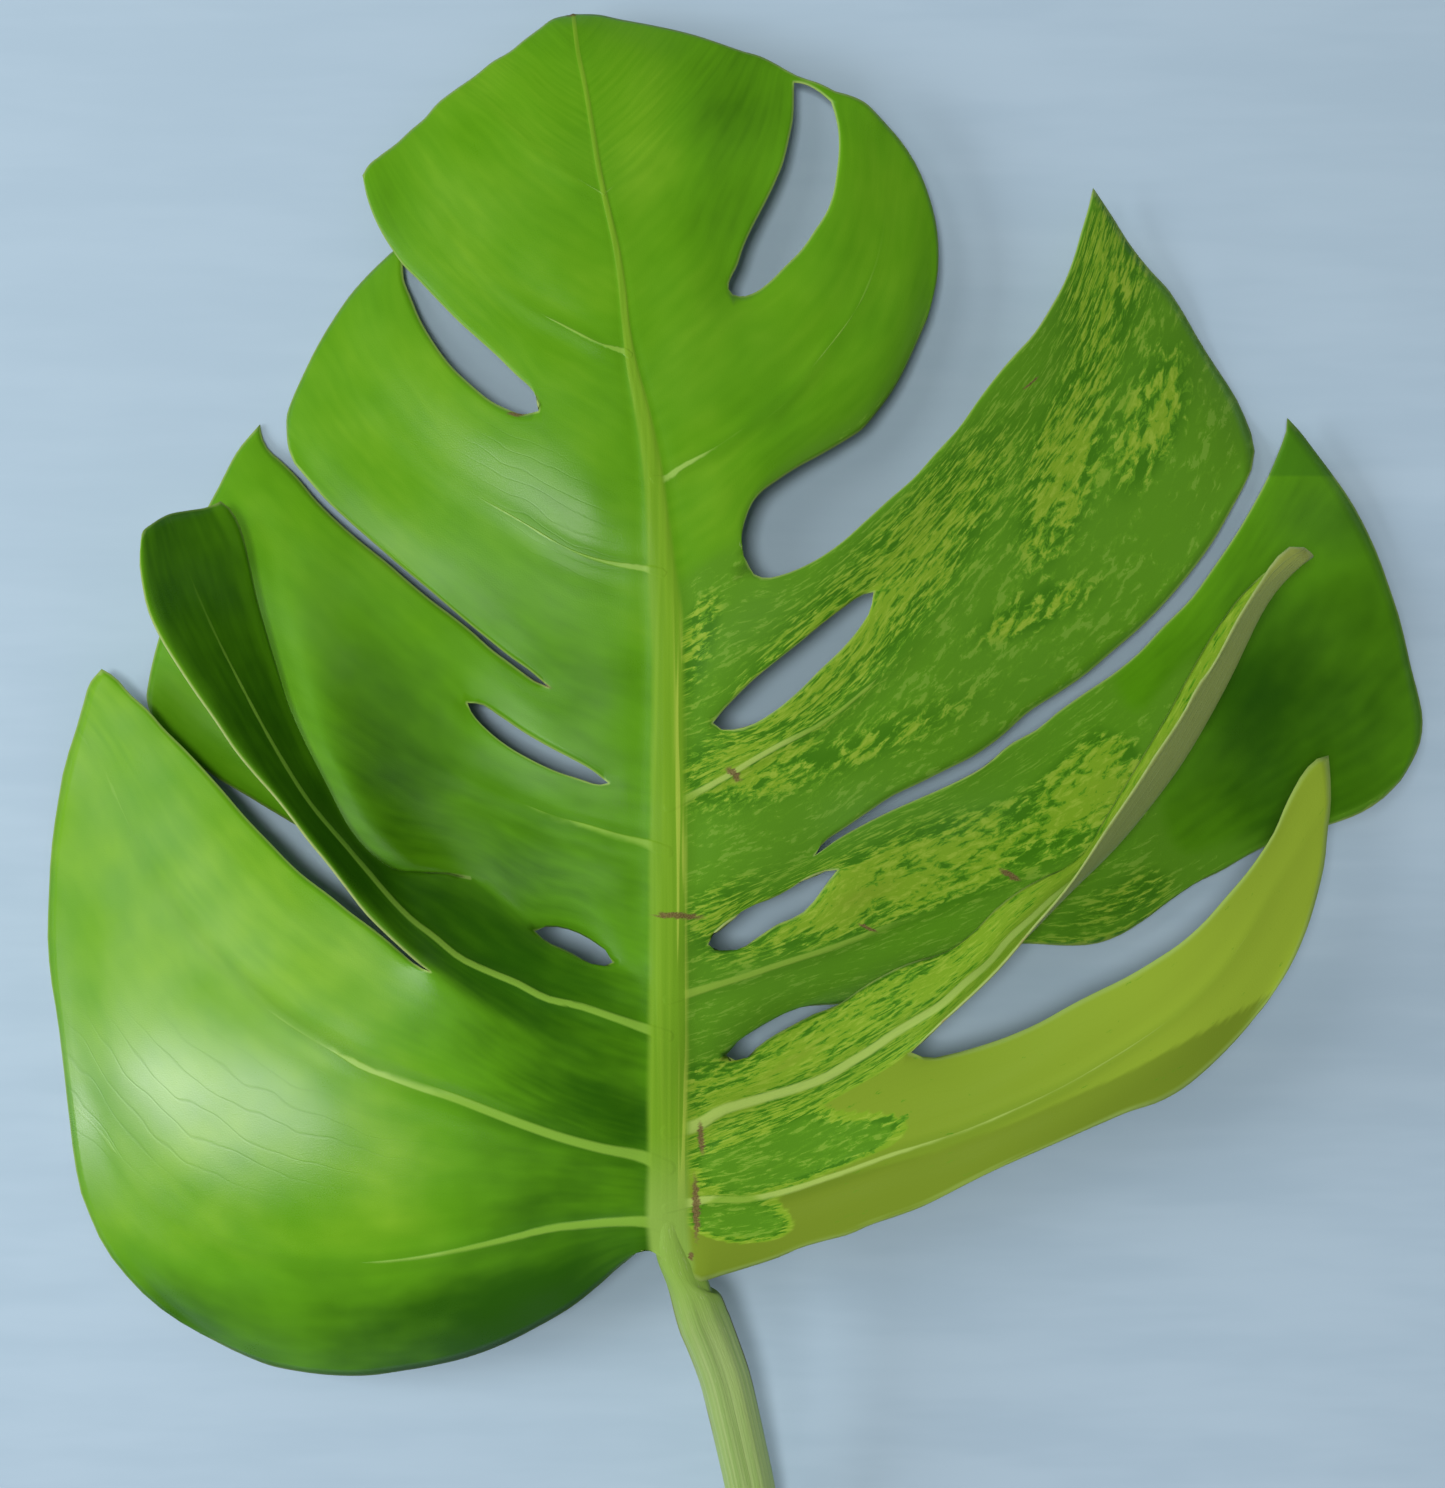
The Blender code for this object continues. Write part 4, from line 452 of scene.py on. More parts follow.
def build_sheet():
    sheet = Sheet()
    mid = Line(MIDRIB)
    fr = np.linspace(0, 1, 4000)
    down = mid.at(fr)[:, 1]
    ncol = COLUMNS[-1][0]
    spots = np.interp(np.arange(ncol + 1), *zip(*COLUMNS))
    mfrac = np.interp(-spots, -down, fr)
    mids = [sheet.add(p, c, 0, 0, 1.0) for c, p in enumerate(mid.at(mfrac))]
    caps = []
    for side, ribs, margins in ((-1, LEFT, LEFT_MARGINS), (1, RIGHT, RIGHT_MARGINS)):
        rim = {}
        for names, pts in margins:
            line = Line(pts)
            for i, name in enumerate(names):
                if i == 0:
                    f = 0.0
                elif i == len(names) - 1:
                    f = 1.0
                else:
                    parts = next(r for r in ribs if r[0] == name)[2]
                    f = line.nearest(parts[-1][1][-1])
                rim[name, names[0]] = (line, f)
        built = {}
        for name, col, parts in ribs:
            on = [v for (nm, first), v in rim.items() if nm == name and 0 < v[1] < 1]
            margin = on[0][0].at(on[0][1]) if on else None
            built[name] = (col,) + build_rib(sheet, side, col, mids[col], parts, margin,
                                              EARLY.get((name, side)))
        # the base margin is itself an edge of the sheet
        col, A, B, lines = built["base"]
        f = [lines[0][0].nearest(sheet.p[i]) for i in A]
        f[0], f[-1] = 0.0, 1.0
        sheet.trace(A, lines[0][0], f)
        for i in A:
            sheet.hold[i] = 1.0
        order = [r[0] for r in ribs]
        for names, _ in margins:
            for a, b in zip(names[:-1], names[1:]):
                line, fa = rim[a, names[0]]
                fb = rim[b, names[0]][1]
                if b == "apex":
                    caps.append((side, line, fa, fb, built[a][2]))
                    continue
                ca, cb = built[a][0], built[b][0]
                fs = np.linspace(fa, fb, cb - ca + 1)
                cols = fill_sector(sheet, side, ca, cb, built[a][2], built[b][1], mids[ca:cb + 1], line.at(fs))
                sheet.trace([c[ROWS] for c in cols], line, fs)
        if "top_hole" in order:
            col, A, B, lines = built["top_hole"]
            inner, outer = Line(BRIDGE[0]), Line(BRIDGE[1])
            fs = np.linspace(0, 1, 4)
            rows = [[A[ROWS - 1]], [A[ROWS]]]
            for k, line in ((0, inner), (1, outer)):
                for p in line.at(fs)[1:-1]:
                    rows[k].append(sheet.add(p, col, ROWS - 1 + k, side, 1.0))
            rows[0].append(B[ROWS - 1])
            rows[1].append(B[ROWS])
            sheet.trace(rows[0], inner, fs)
            sheet.trace(rows[1], outer, fs)
            for c in range(3):
                sheet.faces.append((rows[0][c], rows[1][c], rows[1][c + 1], rows[0][c + 1]))
            for i in (A[ROWS - 1], B[ROWS - 1]):
                sheet.hold[i] = 1.0
            # the rib's last step lies inside the sheet now, between the lobe and the bridge
            for ids in (A, B):
                sheet.edge.pop((min(ids[ROWS - 1:]), max(ids[ROWS - 1:])), None)
    # the tip: a square patch between the last rib on each side, with the midrib on its diagonal
    (_, lm, la, lb, L), (_, rm, ra, rb, R) = caps
    top = mid.at(np.linspace(mfrac[-1], 1, ROWS + 1))
    G = [[None] * (ROWS + 1) for _ in range(ROWS + 1)]
    for k in range(ROWS + 1):
        G[k][0], G[0][k] = L[k], R[k]
    lf, rf = np.linspace(la, lb, ROWS + 1), np.linspace(ra, rb, ROWS + 1)
    lp, rp = lm.at(lf), rm.at(rf)
    apex = sheet.add(lm.at(1.0), ncol + ROWS, 0, 0, 1.0)
    G[ROWS][ROWS] = apex
    for k in range(1, ROWS):
        G[ROWS][k] = sheet.add(lp[k], ncol + k, ROWS - k, -1, 1.0)
        G[k][ROWS] = sheet.add(rp[k], ncol + k, ROWS - k, 1, 1.0)
        G[k][k] = sheet.add(top[k], ncol + k, 0, 0, 1.0)
    sides = []
    for ids in (L, R):
        P = np.array([sheet.p[i] for i in ids])
        s = np.concatenate([[0], np.cumsum(np.linalg.norm(np.diff(P, axis=0), axis=1))])
        sides.append((P, s / s[-1], s[-1]))
    for d in range(1, ROWS):
        for side, (P, s, length) in zip((-1, 1), sides):
            n = ROWS - d
            D = top[d]
            O = lp[d] if side < 0 else rp[d]
            reach = np.linalg.norm(O - D) / max(length, 1e-6)
            for r in range(1, n):
                kk = r / n * ROWS
                f = np.interp(kk, np.arange(ROWS + 1), s)
                shape = np.array([np.interp(kk, np.arange(ROWS + 1), P[:, j]) for j in range(3)])
                bulge = (shape - (P[0] + (P[-1] - P[0]) * f)) * reach
                p = D + (O - D) * f + bulge
                i, j = (d + r, d) if side < 0 else (d, d + r)
                G[i][j] = sheet.add(p, ncol + d, r, side, 0.0)
    for i in range(ROWS):
        for j in range(ROWS):
            sheet.faces.append((G[i][j], G[i][j + 1], G[i + 1][j + 1], G[i + 1][j]))
    sheet.trace([G[ROWS][k] for k in range(ROWS + 1)], lm, lf)
    sheet.trace([G[k][ROWS] for k in range(ROWS + 1)], rm, rf)
    return sheet


def relax_heights(sheet):
    """Bend the sheet like a thin plate between its margins, veins and midrib."""
    P = np.array(sheet.p)
    n = len(P)
    hold = np.array(sheet.hold)
    near = [set() for _ in range(n)]
    count = {}
    for f in sheet.faces:
        for a, b in zip(f, f[1:] + f[:1]):
            near[a].add(b)
            near[b].add(a)
            e = (min(a, b), max(a, b))
            count[e] = count.get(e, 0) + 1
    rim = set()
    for (a, b), c in count.items():
        if c == 1:
            rim |= {a, b}
    Q = P * [1, 1, 0.001 / UNIT]
    rows = np.zeros((n, n))
    for v in range(n):
        if v in rim:
            continue
        ids = sorted(near[v])
        h = np.maximum(np.linalg.norm(Q[ids] - Q[v], axis=1), 1.0)
        w = 1.0 / (h * h.mean()) * 900.0
        rows[v, ids] = w
        rows[v, v] = -w.sum()
    free = np.array([i for i in range(n) if hold[i] < 1.0 and i not in rim])
    fixed = np.array([i for i in range(n) if not (hold[i] < 1.0 and i not in rim)])
    z = P[:, 2].copy()
    weight = np.where(hold[free] > 0, 0.35, 0.02)
    M = rows[:, free]
    rhs = -rows[:, fixed] @ z[fixed]
    lhs = M.T @ M + np.diag(weight**2)
    z[free] = np.linalg.solve(lhs, M.T @ rhs + weight**2 * z[free])
    for i, v in enumerate(z):
        sheet.p[i][2] = v
    return sorted(rim)


# ---- from the plan to metres ----------------------------------------------------
def world(p):
    p = np.asarray(p, float)
    z = p[..., 2] + LIFT_MM
    k = UNIT * (EYE_Z - z) / (EYE_Z - REF_Z)
    x = (p[..., 0] - PLAN_MID[0]) * k + CENTRE[0]
    y = -(p[..., 1] - PLAN_MID[1]) * k + CENTRE[1]
    return np.stack([x, y, z * 0.001], axis=-1)


def vertex_normals(P, faces):
    F = np.array(faces)
    d1, d2 = P[F[:, 2]] - P[F[:, 0]], P[F[:, 3]] - P[F[:, 1]]
    fn = np.cross(d1, d2)
    N = np.zeros_like(P)
    for k in range(4):
        np.add.at(N, F[:, k], fn)
    return N / np.maximum(np.linalg.norm(N, axis=1, keepdims=True), 1e-12)


def midrib_distance(P, mid_line):
    """Distance in plan from each point to the midrib."""
    q = mid_line.at(np.linspace(0, 1, 700))[:, :2]
    d = np.linalg.norm(P[:, None, :2] - q[None], axis=2)
    return d.min(axis=1)


# ---- the fine sheet -------------------------------------------------------------
def subdivide(P, A, F, rim):
    """One Catmull-Clark step. P bends smoothly, A (attributes) is linear, and the
    rim's edges follow their lines. rim: (a, b) -> (line, fraction at a, at b), a < b."""
    n = len(P)
    F = np.asarray(F)
    e = np.sort(np.stack([F, np.roll(F, -1, axis=1)], axis=-1).reshape(-1, 2), axis=1)
    E, inv, cnt = np.unique(e, axis=0, return_inverse=True, return_counts=True)
    inv = inv.reshape(len(F), 4)
    fp, fa = P[F].mean(1), A[F].mean(1)
    ea = A[E].mean(1)
    sums = np.zeros((len(E), 3))
    for k in range(4):
        np.add.at(sums, inv[:, k], fp)
    ep = (P[E].sum(1) + sums) / 4
    inner = cnt == 2
    edge_vertex = np.zeros(n, bool)
    new_rim = {}
    for i in np.where(~inner)[0]:
        a, b = map(int, E[i])
        edge_vertex[[a, b]] = True
        line, f0, f1 = rim[a, b]
        fm = (f0 + f1) / 2
        ep[i] = line.at(fm)
        m = n + int(i)
        new_rim[a, m] = (line, f0, fm)
        new_rim[b, m] = (line, f1, fm)
    val = np.zeros(n)
    Q, R = np.zeros((n, 3)), np.zeros((n, 3))
    for k in range(4):
        np.add.at(Q, F[:, k], fp)
        np.add.at(val, F[:, k], 1)
    mid = P[E].mean(1)
    ev = np.zeros(n)
    for k in range(2):
        np.add.at(R, E[:, k], mid)
        np.add.at(ev, E[:, k], 1)
    v = np.maximum(val, 1)[:, None]
    NP = (Q / v + 2 * R / np.maximum(ev, 1)[:, None] + (v - 3) * P) / v
    NP[edge_vertex] = P[edge_vertex]
    m = n + len(E) + np.arange(len(F))
    G = []
    for k in range(4):
        G.append(np.stack([F[:, k], n + inv[:, k], m, n + inv[:, k - 1]], axis=1))
    return np.concatenate([NP, ep, fp]), np.concatenate([A, ea, fa]), np.concatenate(G), new_rim


def chunked_nearest(X, Y, size=1500):
    """Distance from each X to the nearest Y, and its index."""
    d, w = np.empty(len(X)), np.empty(len(X), int)
    for i in range(0, len(X), size):
        q = ((X[i:i + size, None] - Y[None]) ** 2).sum(-1)
        w[i:i + size] = q.argmin(1)
        d[i:i + size] = np.sqrt(q.min(1))
    return d, w


def smooth(x, lo, hi):
    t = np.clip((x - lo) / (hi - lo), 0, 1)
    return t * t * (3 - 2 * t)


def bump2(u, v, cu, cv, su, sv, turn=0.0):
    """A soft spot in plan: 1 at its middle."""
    c, s = math.cos(math.radians(turn)), math.sin(math.radians(turn))
    x, y = (u - cu) * c + (v - cv) * s, -(u - cu) * s + (v - cv) * c
    return np.exp(-(x / su) ** 2 - (y / sv) ** 2)


def waves(X, seed, scale, count=14):
    """Smooth random undulation in -1..1, from a few seeded plane waves."""
    rng = np.random.default_rng(seed)
    out = np.zeros(len(X))
    for _ in range(count):
        k = rng.normal(size=2) * 2 * math.pi / scale
        out += np.sin(X[:, 0] * k[0] + X[:, 1] * k[1] + rng.uniform(0, 6.28))
    return out / math.sqrt(count)


def build_fine():
    sheet = build_sheet()
    relax_heights(sheet)
    P = np.array(sheet.p)
    col, row, side = (np.array(a, float) for a in (sheet.col, sheet.row, sheet.side))
    # the length run along a rib from the midrib, for each point
    Z = 0.001 / UNIT
    start = {}
    for i in np.where(row == 0)[0]:
        start[col[i]] = P[i]
    along = np.array([np.linalg.norm((p - start[c]) * [1, 1, Z]) if c in start else 0.0 for p, c in zip(P, col)])
    A = np.column_stack([col, row, along, side])
    F, rim = np.array(sheet.faces), dict(sheet.edge)
    for _ in range(2):
        P, A, F, rim = subdivide(P, A, F, rim)
    return P, A, F, rim


# how strong each lateral vein is, and how far out it can be seen
LEFT_VEINS = {"vein5b": (1.15, 0.98), "vein5a": (1.25, 0.98), "vein4": (0.95, 0.95), "vein3": (0.95, 0.50),
              "vein2": (0.8, 0.50), "vein1": (0.6, 0.50), "cap": (0.25, 0.4)}
RIGHT_VEINS = {"vein5": (0.9, 0.95), "vein4": (1.25, 0.95), "vein3": (0.85, 0.75), "vein2": (0.8, 0.6),
               "vein1": (0.75, 0.75), "cap": (0.25, 0.4)}


def vein_lines():
    """The main lateral veins: points with height, the half width there in plan px, how strong they are."""
    pts, width, power = [], [], []
    mid = Line(MIDRIB)
    fine = np.linspace(0, 1, 900)
    downs = mid.at(fine)[:, 1]
    for ribs, wanted in ((LEFT, LEFT_VEINS), (RIGHT, RIGHT_VEINS)):
        for name, col, parts in ribs:
            if name not in wanted:
                continue
            strong, reach = wanted[name]
            down = np.interp(col, *zip(*COLUMNS))
            f = np.interp(-down, -downs, fine)
            line = Line([tuple(mid.at(f))] + parts[0][1])
            g = np.linspace(0, 1, 420)
            pts.append(line.at(g))
            width.append(strong * (1.5 + 2.4 * (1 - smooth(g, 0.0, reach)) + 1.8 * np.exp(-(g / 0.05) ** 2)))
            power.append(min(strong, 1) * (1 - 0.9 * smooth(g, reach * 0.45, reach)))
    return np.concatenate(pts), np.concatenate(width), np.concatenate(power)


def make_blade():
    P, A, F, rim = build_fine()
    Z = 0.001 / UNIT
    # the inner end of the slit between the third and fourth left lobes is closed: the upper
    # edge lies a little over the lower one
    between = np.interp(P[:, 0], [400, 424, 440, 455], [17.4, 19.3, 20.5, 21.4])
    over = ((P[:, 2] > between) | (P[:, 1] > 879)) & (P[:, 1] > 866) & (P[:, 1] < 896)
    shut = smooth(P[:, 0], 394, 414) * (1 - smooth(P[:, 0], 450, 466)) * (1 - smooth(P[:, 1] - 876, 2, 16))
    P[:, 1] -= 4.5 * shut * over
    space = P * [1, 1, Z]
    col, row, along, side = A.T
    mid_line = Line(MIDRIB)
    q = mid_line.at(np.linspace(0, 1, 900))
    dm, wm = chunked_nearest(P[:, :2], q[:, :2])
    # which side of the midrib a point is on
    sgn = np.where(P[:, 0] > q[wm, 0], 1.0, -1.0)
    half = midrib_half(P[:, 1])
    vp, vw, vs = vein_lines()
    dv, wv = chunked_nearest(P * [1, 1, Z * 0.12], vp * [1, 1, Z * 0.12])
    width, power = vw[wv], vs[wv]
    rim_ids = np.array(sorted({i for e in rim for i in e}))
    dr, _ = chunked_nearest(space, space[rim_ids])
    base = np.array([i for i in rim_ids if P[i, 1] > 1240 and abs(P[i, 0] - 675) < 40])
    u, v = P[:, 0], P[:, 1]
    # relief in mm along the normal: the midrib stands up, the blade sinks beside each
    # lateral vein and swells between them
    x = dm / np.maximum(half, 1)
    grow = np.interp(v, [13, 326, 481, 900, 1260], [0.10, 0.18, 0.30, 0.42, 0.46])
    lift = grow * (np.exp(-(x / 0.95) ** 3) - 0.45 * np.exp(-((x - 1.6) / 0.6) ** 2))
    lift *= 1 - 0.9 * smooth(v, 1205, 1262) * (1 - smooth(dm, 40, 80))
    free = smooth(dr, 2, 40) * smooth(dm, 16, 70)
    lift += 0.30 * power * np.exp(-(dv / 4.5) ** 2) * smooth(dm, 12, 30)
    lift -= 0.30 * power * np.exp(-((dv - 15) / 10.0) ** 2) * smooth(dr, 0, 30) * smooth(dm, 14, 50)
    lift += 0.35 * smooth(dv, 8, 60) * free
    lift += 0.14 * waves(P[:, :2], 11, 260.0) * free
    lift -= 0.20 * np.clip(1 - dr / 7.0, 0, 1) ** 2
    top = world(P)
    N = vertex_normals(top, F)
    top = top + N * (lift * 0.001)[:, None]
    # where the midrib becomes the stalk, the blade's upper face dips into the stalk's
    top[:, 2] -= 0.0010 * smooth(v, 1185, 1272) * (1 - smooth(x, 0.9, 1.6))
    N = vertex_normals(top, F)
    depth = np.interp(v, *zip(*MIDRIB_DEPTH))
    ridge = depth * np.sqrt(np.clip(1 - (dm / (half * 1.2)) ** 2, 0, 1))
    low_rib = 0.9 * power * np.exp(-(dv / 7.0) ** 2) * smooth(dr, 0, 30)
    thick = 0.50 + low_rib - 0.12 * np.clip(1 - dr / 7.0, 0, 1)
    low = top - N * (thick * 0.001)[:, None]
    low[:, 2] -= 0.001 * ridge
    low[:, 2] = np.maximum(low[:, 2], 0.0)
    top[:, 2] = np.maximum(top[:, 2], 0.0005)
    # one closed mesh: upper face, lower face, edge
    n = len(P)
    E = set()
    for k in range(4):
        E |= {(int(a), int(b)) for a, b in zip(F[:, k], F[:, (k + 1) % 4])}
    edge = [(a, b) for a, b in E if (b, a) not in E]
    edge.sort()
    faces = [tuple(map(int, f)) for f in F]
    faces += [tuple(int(i) + n for i in reversed(f)) for f in F.tolist()]
    faces += [(b, a, a + n, b + n) for a, b in edge]
    mesh = bpy.data.meshes.new("blade")
    mesh.from_pydata(np.concatenate([top, low]).tolist(), [], faces)
    slots = np.zeros(len(faces), np.int32)
    slots[len(F):2 * len(F)] = 1
    slots[2 * len(F):] = 2
    mesh.polygons.foreach_set("material_index", slots)
    # where the yellow of the variegation takes over: 1 is all green, -1 all yellow
    right = side > 0
    onr = np.where((sgn > 0) & (col < 45), 1.0, 0.0)
    green = np.ones(n)
    r2 = onr * smooth(col, 21.5, 22.5) * (1 - smooth(col, 31.0, 33.5))
    r3 = onr * smooth(col, 12.6, 13.4) * (1 - smooth(col, 21.5, 22.5))
    r4 = onr * smooth(col, 6.9, 7.3) * (1 - smooth(col, 12.6, 13.4))
    r5 = onr * (1 - smooth(col, 6.9, 7.3))
    b2 = (0.50 - 0.70 * bump2(u, v, 815, 665, 110, 40, -46) - 0.62 * bump2(u, v, 925, 540, 120, 40, -55)
          - 0.95 * bump2(u, v, 1062, 470, 26, 80, 16) - 0.55 * bump2(u, v, 1105, 275, 40, 85, 8)
          - 0.62 * bump2(u, v, 1150, 430, 26, 75, 18) - 0.60 * bump2(u, v, 1035, 612, 56, 14, -24)
          - 0.60 * bump2(u, v, 735, 770, 60, 26, -12) - 0.60 * bump2(u, v, 700, 625, 14, 70, 14)
          - 0.30 * bump2(u, v, 880, 740, 110, 20, -24) + 0.25 * bump2(u, v, 1175, 510, 55, 60, 20))
    b3 = (0.46 - 0.95 * bump2(u, v, 1095, 785, 60, 34, -42) - 0.80 * bump2(u, v, 920, 870, 130, 34, -22)
          - 0.55 * bump2(u, v, 840, 905, 70, 24, -20) + 0.30 * bump2(u, v, 1015, 765, 60, 22, -36)
          + 0.60 * smooth(u - 0.35 * v, 835, 900) - 0.60 * bump2(u, v, 725, 862, 40, 18, -10)
          - 0.45 * bump2(u, v, 725, 920, 34, 30) - 0.40 * bump2(u, v, 1170, 700, 60, 16, -55)
          + 0.20 * bump2(u, v, 850, 955, 130, 16, -18) - 0.35 * bump2(u, v, 1170, 880, 110, 20, -24))
    b4 = (-0.05 - 0.50 * smooth(u, 880, 1030) - 0.60 * bump2(u, v, 790, 1062, 110, 12, -33)
          + 0.35 * bump2(u, v, 750, 1040, 60, 18, -20) - 0.35 * smooth(v - 0.55 * (1090 - u), 1040, 1075))
    patch = (1.10 * bump2(u, v, 765, 1150, 80, 44, -14) + 0.75 * bump2(u, v, 862, 1137, 52, 19, -14)
             + 1.05 * bump2(u, v, 740, 1223, 50, 19, 4))
    b5 = -1.05 + 1.45 * smooth(patch, 0.26, 0.60)
    green = green * (1 - r2 - r3 - r4 - r5) + b2 * r2 + b3 * r3 + b4 * r4 + b5 * r5
    # how light the green is: random tone, spots that are lighter or darker, and painted shade where lobes face away
    # from the light or lie in the shadow of other lobes
    tone_and_painted_shade = 0.52 + 0.05 * waves(P[:, :2], 23, 260.0)
    left = 1 - onr
    l5 = left * (1 - smooth(col, 11.5, 13.0))
    l4 = left * smooth(col, 11.6, 13.0) * (1 - smooth(col, 16.6, 18.8))
    # painted shade: the fifth left lobe is darker towards its lower margin, towards the midrib and in a spot beside the
    # midrib, where its surface turns away from the light
    tone_and_painted_shade = tone_and_painted_shade * (1 - l5) + l5 * (0.64 - 0.42 * smooth(v, 1215, 1330) - 0.25 * smooth(u, 330, 560)
                                   + 0.05 * waves(P[:, :2], 29, 200.0))
    tone_and_painted_shade -= l5 * 0.16 * bump2(u, v, 575, 1085, 120, 34, 26)
    # painted shade: the fourth left lobe stands steeply and faces away from the light, so its green is darker, less so
    # near the midrib
    tone_and_painted_shade = tone_and_painted_shade * (1 - l4) + l4 * (0.20 - 0.10 * smooth(v, 600, 800) + 0.26 * smooth(u, 470, 640))
    tone_and_painted_shade += 0.10 * bump2(u, v, 505, 205, 75, 50, 30) + 0.16 * bump2(u, v, 640, 175, 45, 70)
    tone_and_painted_shade += 0.10 * bump2(u, v, 380, 350, 90, 60) - 0.16 * bump2(u, v, 735, 110, 60, 70)
    tone_and_painted_shade -= 0.14 * bump2(u, v, 560, 640, 90, 40, 30) + 0.10 * left * smooth(u, 420, 560) * smooth(v, 620, 700)
    # painted shadow of the standing fourth left lobe on the third lobe, and painted shade on the third lobe's low part
    # near the midrib
    tone_and_painted_shade -= 0.24 * left * (1 - l4) * bump2(u, v, 390, 735, 70, 130, -25)
    tone_and_painted_shade -= 0.14 * left * (1 - l4) * (1 - l5) * bump2(u, v, 520, 870, 130, 60, 20)
    # painted shadow of the standing fourth right lobe on the outer part of the third lobe
    tone_and_painted_shade -= onr * 0.16 * smooth(col, 12.6, 13.4) * (1 - smooth(col, 21.5, 22.5)) * smooth(u, 1150, 1300)
    tone_and_painted_shade -= r3 * 0.26 * bump2(u, v, 1260, 760, 95, 170)
    tone_and_painted_shade -= r4 * 0.40 * smooth(u, 880, 1000)
    # painted shade: the lobe at the base is darker below its crease, where it rolls down away from the light
    crease = np.interp(u, [690, 842, 935, 1020, 1127, 1198, 1300], [1199, 1171, 1147, 1115, 1068, 1029, 972])
    tone_and_painted_shade = tone_and_painted_shade * (1 - r5) + r5 * (0.60 - 0.60 * smooth(v - crease, 1, 9))
    # how strongly the waxy skin shines
    sheen = 0.14 + 0.04 * waves(P[:, :2], 31, 160.0)
    sheen += left * (1.05 * bump2(u, v, 170, 1102, 160, 66, 11) + 0.26 * bump2(u, v, 350, 1150, 130, 36, 14) + 0.25 * bump2(u, v, 395, 962, 80, 34, 35))
    sheen += left * (0.78 * bump2(u, v, 552, 505, 105, 44, 44) + 0.18 * bump2(u, v, 500, 585, 110, 34, 20)
                     - 0.10 * bump2(u, v, 410, 740, 110, 130))
    sheen += left * (0.22 * bump2(u, v, 555, 765, 80, 34, 28) + 0.10 * bump2(u, v, 470, 215, 90, 60))
    sheen += onr * (0.35 * bump2(u, v, 745, 625, 55, 24, -42) + 0.40 * bump2(u, v, 858, 812, 45, 28, -20)
                    + 0.30 * bump2(u, v, 1320, 520, 50, 40) + 0.30 * bump2(u, v, 970, 815, 50, 24, -20))
    sheen -= r5 * 0.10 + l4 * 0.08 + l5 * 0.12 * bump2(u, v, 520, 1055, 110, 50, 30)
    sheen *= 1 - 0.55 * np.exp(-(x / 1.15) ** 4)
    sheen = np.clip(sheen, 0.06, 1.2)

    def both(a):
        return np.concatenate([a, a]).astype(np.float32)
    for name, val in (("mid", dm * sgn), ("half", half), ("vein", dv / width), ("power", power), ("rim", dr),
                      ("green", green), ("tone_and_painted_shade", tone_and_painted_shade), ("sheen", sheen)):
        mesh.attributes.new(name, "FLOAT", "POINT").data.foreach_set("value", both(val))
    across = col * 45.0 + np.where(sgn > 0, 5000.0, 0.0)
    flow = np.column_stack([along / 100, across / 100, np.zeros(n)])
    flow = np.concatenate([flow, flow]).astype(np.float32)
    mesh.attributes.new("flow", "FLOAT_VECTOR", "POINT").data.foreach_set("vector", flow.ravel())
    plan = np.column_stack([u / 100, v / 100, np.zeros(n)])
    plan = np.concatenate([plan, plan]).astype(np.float32)
    mesh.attributes.new("plan", "FLOAT_VECTOR", "POINT").data.foreach_set("vector", plan.ravel())
    mesh.shade_smooth()
    ob = bpy.data.objects.new("blade", mesh)
    bpy.context.scene.collection.objects.link(ob)
    print("blade faces", len(faces), "triangles", len(F) * 4 + len(edge) * 2)
    return ob


